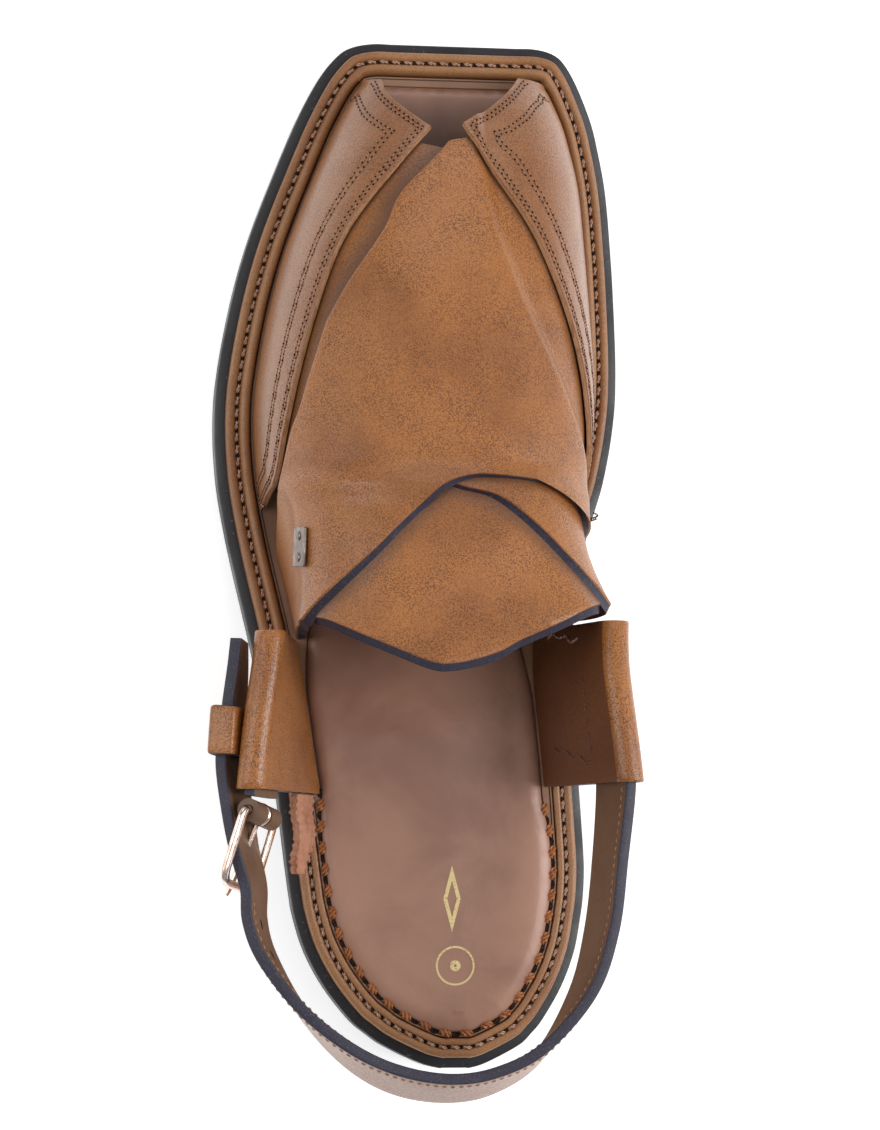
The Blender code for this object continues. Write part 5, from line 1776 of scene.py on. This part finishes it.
    def make_loop(self, side: int, name: str, node: str) -> bpy.types.Object:
        """A side loop, folded over the strap and sewn to itself."""
        front, rear = self.front[side], self.rear[side]
        inset = 0.0005 / SOLE.length
        stations = [rear, rear + inset, *np.linspace(rear, front, 22)[1:-1], front - inset, front]
        sections = [self.loop_section(side, a, False) for a in stations]
        rings = []
        for n, (section, _) in enumerate(sections):
            if n in (0, len(sections) - 1):
                middle = section.mean(0)
                section = section + 0.0004 * unit(middle - section)
            rings.append(section)
        draft = MeshDraft()
        draft.tube(rings, sections[0][1], 2)
        # the inner loop's inner face takes the painted-shade copy of the loop leather
        inside = Surface.LOOP_INSIDE if side > 0 else Surface.LOOP
        thing = draft.build(name, [Surface.LOOP, inside, Surface.EDGE], 40.0)
        cutter = MeshDraft()
        past = 0.004
        reach = np.linspace(rear - past, front + past, 8)
        cutter.tube([self.loop_section(side, along, True)[0] for along in reach])
        hole = cutter.build(f"{name}_cutter", [Surface.LINING], 40.0)
        cut = thing.modifiers.new("tunnel", "BOOLEAN")
        cut.operation = "DIFFERENCE"
        cut.object = hole
        cut.solver = "EXACT"
        bpy.context.view_layer.update()
        mesh = bpy.data.meshes.new_from_object(thing.evaluated_get(bpy.context.evaluated_depsgraph_get()))
        thing.modifiers.clear()
        thing.data = mesh
        bpy.data.objects.remove(hole, do_unlink=True)
        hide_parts(node)
        return thing

    def wall_point(self, side: int, along: float, up_wall: float, beyond: float) -> Array:
        """A point this far up a loop's wall and this far outside its inner face."""
        foot, up, out = self.frame_at(side, along)
        return foot + up * up_wall + out * beyond

    def sew_loops(self) -> None:
        """Sew the inner loop's fold, with a hand stitch and a loose pink end."""
        rows = [((a, 0.033), (a + 0.0085, 0.033)) for a in np.arange(0.298, 0.372, 0.013)]
        runs = {
            "loop_stitches": (Surface.LOOP_THREAD, rows),
            "loop_hand_stitches": (Surface.LOOP_THREAD, list(zip(self.hand_stitch, self.hand_stitch[1:]))),
            "loop_loose_thread": (Surface.LOOSE_THREAD, list(zip(self.loose_end, self.loose_end[1:])))}
        for name, (surface, run) in runs.items():
            starts = np.array([self.wall_point(1, a, up_wall, -0.00005) for (a, up_wall), _ in run])
            ends = np.array([self.wall_point(1, a, up_wall, -0.00005) for _, (a, up_wall) in run])
            normals = np.array([-self.frame_at(1, a)[2] for (a, _), _ in run])
            thread = Stitching(radius=0.00034, strands=2, turns=1.0, rings=7, sides=6, sink=0.4)
            thread.stitches(name, starts, ends, normals, surface)

    def make_tail(self) -> bpy.types.Object:
        """The raw end of the outer loop's leather, split into fibres."""
        rear = self.rear[-1] - 2 * SOLE.clear / SOLE.length
        rows = []
        count = 40
        for share in np.linspace(0.0, 1.0, count):
            foot, up, out = self.frame_at(-1, rear)
            foot = foot + np.array([0.0, -self.tail_length * share, 0.0006 * share])
            low = 0.0045 + 0.45 * self.tail_width * share ** 3
            wave = 0.0006 * math.sin(share * 9.0) + 0.00025 * math.sin(share * 61.0)
            ragged = 0.0006 * math.sin(share * 47.0) * math.sin(share * 23.0)
            high = self.tail_width + ragged
            marks = []
            for u in np.linspace(0, 1, 12):
                w = low + (high - low) * u
                marks.append((wave + 0.00012 * math.sin(70 * share + 9 * u), w))
            for u in np.linspace(1, 0, 12):
                w = low + (high - low) * u
                marks.append((wave + self.tail_thick + 0.00018 * math.sin(90 * share + 7 * u), w))
            rows.append(np.array([foot + out * n + up * w for n, w in marks]))
        draft = MeshDraft()
        draft.tube(rows)
        thing = draft.build("raw_tail", [Surface.RAW], 60.0)
        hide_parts("loop_tail")
        return thing

    def make_heel_band(self) -> bpy.types.Object:
        """The heel strap with painted edges, from the inner loop to its free end."""
        band = Sweep(self.strap_width, self.strap_thick, 0.0006)
        frames = band.frames(self.route(), 260)
        draft = band.draft(frames)
        thing = draft.build("heel_band", [Surface.LINING, Surface.BAND, Surface.EDGE], 45.0)
        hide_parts("heel_strap")
        self.punch(frames)
        return thing

    def punch(self, frames: Sequence) -> None:
        """Punched pin holes on the strap and the sewn line near its upper edge."""
        front, rear = self.bars()
        near = min(range(len(frames)), key=lambda n: (frames[n][0] - rear).length)
        places, normals, aheads = [], [], []
        for step in (-10, -18, -26):
            place, travel, up, side = frames[near + step]
            for face in (1, -1):
                places.append(np.array(place + side * face * self.strap_thick / 2))
                normals.append(np.array(side * face))
                aheads.append(np.array(travel))
        thread = Stitching(radius=0.00030, strands=1, rings=5, sides=6, sink=0.6)
        slits = thread.holes("strap_pin_holes", *map(np.array, (places, normals, aheads)), 0.0016, 0.00075)
        starts, ends, over = [], [], []
        for n in range(16, near - 4, 2):
            (a, _, up_a, side_a), (b, _, up_b, side_b) = frames[n], frames[n + 2]
            for face in (1, -1):
                low, high = (p + u * (0.5 * self.strap_width - 0.0026) + s * face * self.strap_thick / 2
                             for p, u, s in ((a, up_a, side_a), (b, up_b, side_b)))
                starts.append(low + 0.16 * (high - low))
                ends.append(high - 0.16 * (high - low))
                over.append(side_a * face)
        sewn = thread.stitches("strap_stitches", *map(np.array, (starts, ends, over)), Surface.PANEL_THREAD)

    def make_buckle_band(self) -> bpy.types.Object:
        """The short folded strap inside the outer loop that holds the buckle."""
        front, _ = self.bars()
        _, up, _ = self.axes()
        rows = [(*self.tunnel(-1, a), -self.lean_at(-1, a)) for a in (0.400, 0.36, 0.32, self.rear[-1])]
        rows.append((*front, -math.degrees(math.atan(self.lean[-1][1]))))
        band = Sweep(self.strap_width, self.strap_thick, 0.0005)
        frames = band.frames(rows, 40)
        stop = max(n for n in range(41) if (frames[n][0] - front).length > self.bar + 0.9 * self.strap_thick)
        draft = band.draft(frames[:stop + 1])
        radius, bore = self.bar + SOLE.clear + 0.5 * self.strap_thick, self.bar + 0.5 * SOLE.clear
        reach, up, out = self.axes()
        for low, high in ((-1.0, -0.16), (0.16, 1.0)):
            rings = []
            for share in (low, high):
                middle = np.array(front + up * (share * self.strap_width / 2))
                turns = circle(32)
                for r in (bore, radius):
                    ring = middle + r * (np.outer(np.cos(turns), reach) + np.outer(np.sin(turns), out))
                    rings.append(ring)
            start = draft.put(np.vstack([rings[0], rings[1], rings[3], rings[2]]))
            draft.rings(start, 4, 32, True)
        thing = draft.build("buckle_band", [Surface.LINING, Surface.LINING, Surface.EDGE], 45.0)
        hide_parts("buckle_strap")
        return thing

    def make_keeper(self) -> bpy.types.Object:
        """The keeper: a glossy crowned ring of leather round the strap's free end."""
        place = self.tunnel(-1, self.keeper_along, self.free_offset())
        ahead = self.tunnel(-1, self.keeper_along + 0.02, self.free_offset())
        travel = (ahead - place).normalized()
        up = Vector(self.frame_at(-1, self.keeper_along)[1])
        up = (up - travel * up.dot(travel)).normalized()
        side = travel.cross(up).normalized()
        room_side = self.strap_thick / 2 + 2.5 * self.slide_clear
        room_up = self.strap_width / 2 + 2.5 * self.slide_clear

        def ring(offset: float, wall: float) -> Array:
            turns = circle(64)
            power = 0.30 if wall else 0.18
            a = (room_side + wall) * np.sign(np.cos(turns)) * np.abs(np.cos(turns)) ** power
            b = (room_up + wall) * np.sign(np.sin(turns)) * np.abs(np.sin(turns)) ** power
            centre = np.array(place + travel * offset)
            return centre + np.outer(a, side) + np.outer(b, up)

        half, wall = self.keeper_length / 2, self.keeper_wall
        lip = [(half, 0.0), (half, 0.5 * wall), (half - 0.0003, 0.85 * wall), (half - 0.0009, 0.98 * wall)]
        shape = [(-offset, rise) for offset, rise in lip]
        shape += [(-half + self.keeper_length * s, wall) for s in (0.2, 0.5, 0.8)]
        shape += lip[::-1]
        shape += [(half * s, 0.0) for s in (0.6, 0.2, -0.2, -0.6)]
        draft = MeshDraft()
        start = draft.put(np.vstack([ring(o, w) for o, w in shape]))
        draft.rings(start, len(shape), 64, True, (2, 2, 0, 0, 0, 0, 0, 0, 2, 2, 1))
        thing = draft.build("strap_keeper", [Surface.LOOP, Surface.LINING, Surface.EDGE], 40.0)
        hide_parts("keeper")
        return thing

    def make_frame(self) -> bpy.types.Object:
        """The buckle's frame: rounded side bars, round front bar and bowed rear end."""
        front, rear = self.bars()
        reach, up, out = self.axes()
        half = self.strap_width / 2 + 2 * self.slide_clear + self.bar + 0.0008
        corner = 0.0042
        places = []
        for bar_middle, sign, start in ((front, 1, 90), (front, -1, 180), (rear, -1, 270), (rear, 1, 0)):
            towards = 1.0 if bar_middle is front else -1.0
            bend = 0.003 if bar_middle is front else corner
            centre = bar_middle + reach * towards * bend + up * sign * (half - bend)
            for turn in np.radians(start + np.linspace(0, 90, 9)):
                places.append(centre + reach * bend * math.cos(turn) + up * bend * math.sin(turn))
        line = np.array([tuple(p) for p in places])
        closed = np.vstack([line, line[:1]])
        run = np.concatenate([[0], np.cumsum(np.linalg.norm(np.diff(closed, axis=0), axis=1))])
        spots = np.linspace(0, run[-1], 180, endpoint=False)
        line = np.stack([np.interp(spots, run, closed[:, c]) for c in range(3)], 1)
        ahead = unit(np.roll(line, -1, 0) - np.roll(line, 1, 0))
        outward = np.array(out)
        across = unit(np.cross(ahead, outward))
        share = np.abs((line - np.array(front + rear) / 2) @ np.array(up)) / half
        flat = smooth((share - 0.80) / 0.15)
        turns = circle(16)
        rings = []
        for n in range(len(line)):
            wide = self.bar * (1.0 + 0.50 * flat[n])
            thick = self.bar * (1.0 - 0.10 * flat[n])
            ring = line[n] + np.outer(np.cos(turns) * wide, across[n])
            rings.append(ring + np.outer(np.sin(turns) * thick, outward))
        draft = MeshDraft()
        start = draft.put(np.vstack(rings))
        draft.rings(start, len(rings), 16, True)
        thing = draft.build("buckle_frame_metal", [Surface.BUCKLE], 60.0)
        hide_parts("buckle_frame")
        return thing

    def make_prong(self) -> bpy.types.Object:
        """The pin, hooked round the front bar and lying on the rear bar."""
        front, rear = self.bars()
        reach, _, out = self.axes()
        ring = self.bar + self.pin + SOLE.clear
        start = front + reach * ring
        end = rear + out * ring + reach * 2.5 * self.bar
        hook = [front + reach * ring * math.cos(math.radians(a)) - out * ring * math.sin(math.radians(a))
                for a in range(250, -1, -10)]
        body = [start + (end - start) * share for share in np.linspace(0.1, 1.0, 16)]
        curve = bpy.data.curves.new("buckle_prong", "CURVE")
        curve.dimensions = "3D"
        curve.bevel_depth = self.pin
        curve.bevel_resolution = 4
        curve.use_fill_caps = True
        line = curve.splines.new("POLY")
        line.points.add(len(hook + body) - 1)
        for n, (point, place) in enumerate(zip(line.points, hook + body)):
            point.co = (*place, 1.0)
            point.radius = 1.0 if n < len(hook + body) - 2 else 0.8 if n < len(hook + body) - 1 else 0.5
        bent = bpy.data.objects.new("buckle_prong", curve)
        bpy.context.scene.collection.objects.link(bent)
        bpy.context.view_layer.update()
        mesh = bpy.data.meshes.new_from_object(bent.evaluated_get(bpy.context.evaluated_depsgraph_get()))
        bpy.data.objects.remove(bent, do_unlink=True)
        mesh.materials.clear()
        mesh.materials.append(Surface.BUCKLE.material())
        mesh.shade_smooth()
        thing = bpy.data.objects.new("buckle_prong", mesh)
        bpy.context.scene.collection.objects.link(thing)
        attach(thing, "root")
        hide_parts("buckle_pin")
        return thing

    def make_plate(self) -> None:
        """The small metal plate on strap A, with its two rivets."""
        along, girth = 0.491, -0.585
        thick = self.vamp.strap_a_thick + 2 * SOLE.clear + self.plate_thick / 2
        low = self.vamp.lift_a(np.array([along]), np.array([girth]))
        place = Vector(self.last.lifted(np.array([along]), np.array([girth]), low + thick)[0])
        normal = Vector(self.last.normal(np.array([along]), np.array([girth]))[0])
        long_way = Vector((0.16, 0.98, 0.0))
        long_way = (long_way - normal * long_way.dot(normal)).normalized()
        wide_way = long_way.cross(normal).normalized()
        turn = Matrix((wide_way, long_way, normal)).transposed().to_4x4()

        def settle(thing: bpy.types.Object, name: str, shift: Vector) -> None:
            thing.name = thing.data.name = name
            thing.data.transform(Matrix.Translation(place + shift) @ turn)
            thing.data.materials.append(Surface.GUNMETAL.material())
            thing.data.shade_smooth()
            thing.data.set_sharp_from_angle(angle=math.radians(35))
            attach(thing, "root")

        deselect()
        bpy.ops.mesh.primitive_cube_add(size=1.0)
        plate = bpy.context.active_object
        plate.data.transform(Matrix.Diagonal((self.plate_width, self.plate_length, self.plate_thick, 1.0)))
        soften = plate.modifiers.new("soften", "BEVEL")
        soften.width = 0.0004
        soften.segments = 4
        bpy.ops.object.modifier_apply(modifier="soften")
        settle(plate, "ornament_plate", Vector((0, 0, 0)))
        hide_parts("ornament")
        for n, share in enumerate((-0.27, 0.27)):
            deselect()
            bpy.ops.mesh.primitive_uv_sphere_add(radius=0.0014, segments=28, ring_count=14)
            rivet = bpy.context.active_object
            rivet.data.transform(Matrix.Diagonal((1.0, 1.0, 0.5, 1.0)))
            shift = long_way * share * self.plate_length + normal * 0.5 * self.plate_thick
            settle(rivet, f"ornament_rivet_{n}", shift)

    def build(self) -> None:
        """Make and dress the loops, the strap and the metalwork."""
        self.make_loop(-1, "loop_lateral_leather", "loop_lateral")
        self.make_loop(1, "loop_medial_leather", "loop_medial")
        for make in (self.sew_loops, self.make_tail, self.make_heel_band, self.make_buckle_band,
                     self.make_keeper, self.make_frame, self.make_prong, self.make_plate):
            make()
            LOG.info("heel fastening: %s", make.__name__)


# Studio
@dataclass(frozen=True)
class Studio:
    """Pale floor, soft light and the camera."""

    target: Triple = (0.002, 0.110, 0.018)
    tilt: tuple[float, float] = (9.0, 5.0)
    distance: float = 1.25
    lens: float = 133.65

    def make_camera(self) -> None:
        """Look down on the shoe as the photograph does."""
        data = bpy.data.cameras.new("camera")
        data.lens = self.lens
        data.sensor_width = 36.0
        data.clip_start = 0.01
        camera = bpy.data.objects.new("camera", data)
        across, along = (math.tan(math.radians(angle)) for angle in self.tilt)
        back = Vector((-across, -along, 1.0)).normalized()
        upward = (Vector((0, 1, 0)) - back * back.y).normalized()
        right = upward.cross(back).normalized()
        turn = Matrix((right, upward, back)).transposed().to_4x4()
        camera.matrix_world = Matrix.Translation(Vector(self.target) + back * self.distance) @ turn
        bpy.context.scene.collection.objects.link(camera)
        bpy.context.scene.camera = camera

    def make_light(self, name: str, place: tuple, size: tuple[float, float], power: float) -> None:
        """A softbox that faces the shoe."""
        data = bpy.data.lights.new(name, "AREA")
        data.shape = "RECTANGLE"
        data.size, data.size_y = size
        data.energy = power
        light = bpy.data.objects.new(name, data)
        light.location = place
        light.rotation_euler = (Vector((0.0, 0.11, 0.02)) - Vector(place)).to_track_quat("-Z", "Y").to_euler()
        bpy.context.scene.collection.objects.link(light)

    def build(self) -> None:
        """Make the floor, the lights and the camera."""
        deselect()
        bpy.ops.mesh.primitive_plane_add(size=6.0)
        floor = bpy.context.active_object
        floor.name = floor.data.name = "floor"
        floor.data.materials.append(Surface.FLOOR.material())
        self.make_light("softbox_left", (-1.0, 0.25, 0.9), (0.9, 1.2), 6.5)
        self.make_light("softbox_right", (1.0, 0.05, 0.8), (0.7, 1.1), 12.0)
        self.make_light("softbox_toe", (0.1, 1.3, 0.9), (1.0, 0.6), 3.0)
        self.make_light("softbox_top", (0.0, 0.1, 1.6), (1.2, 1.2), 1.5)
        world = bpy.data.worlds.new("studio")
        world.use_nodes = True
        sky = world.node_tree.nodes["Background"]
        sky.inputs["Color"].default_value = (1.0, 1.0, 1.0, 1.0)
        sky.inputs["Strength"].default_value = 0.30
        bpy.context.scene.world = world
        bpy.context.scene.view_settings.view_transform = "Standard"
        self.make_camera()


def main() -> None:
    """Build the pieces in order and light them."""
    logging.basicConfig(level=logging.INFO, format="%(relativeCreated)6.0f ms  %(message)s")
    last = Last()
    vamp = Vamp(last)
    parts = (("sole unit", SoleUnit()), ("upper", vamp), ("heel fastening", HeelFastening(last, vamp)),
             ("studio", Studio()))
    for name, part in parts:
        part.build()
        LOG.info("%s done", name)


if __name__ == "__main__":
    main()
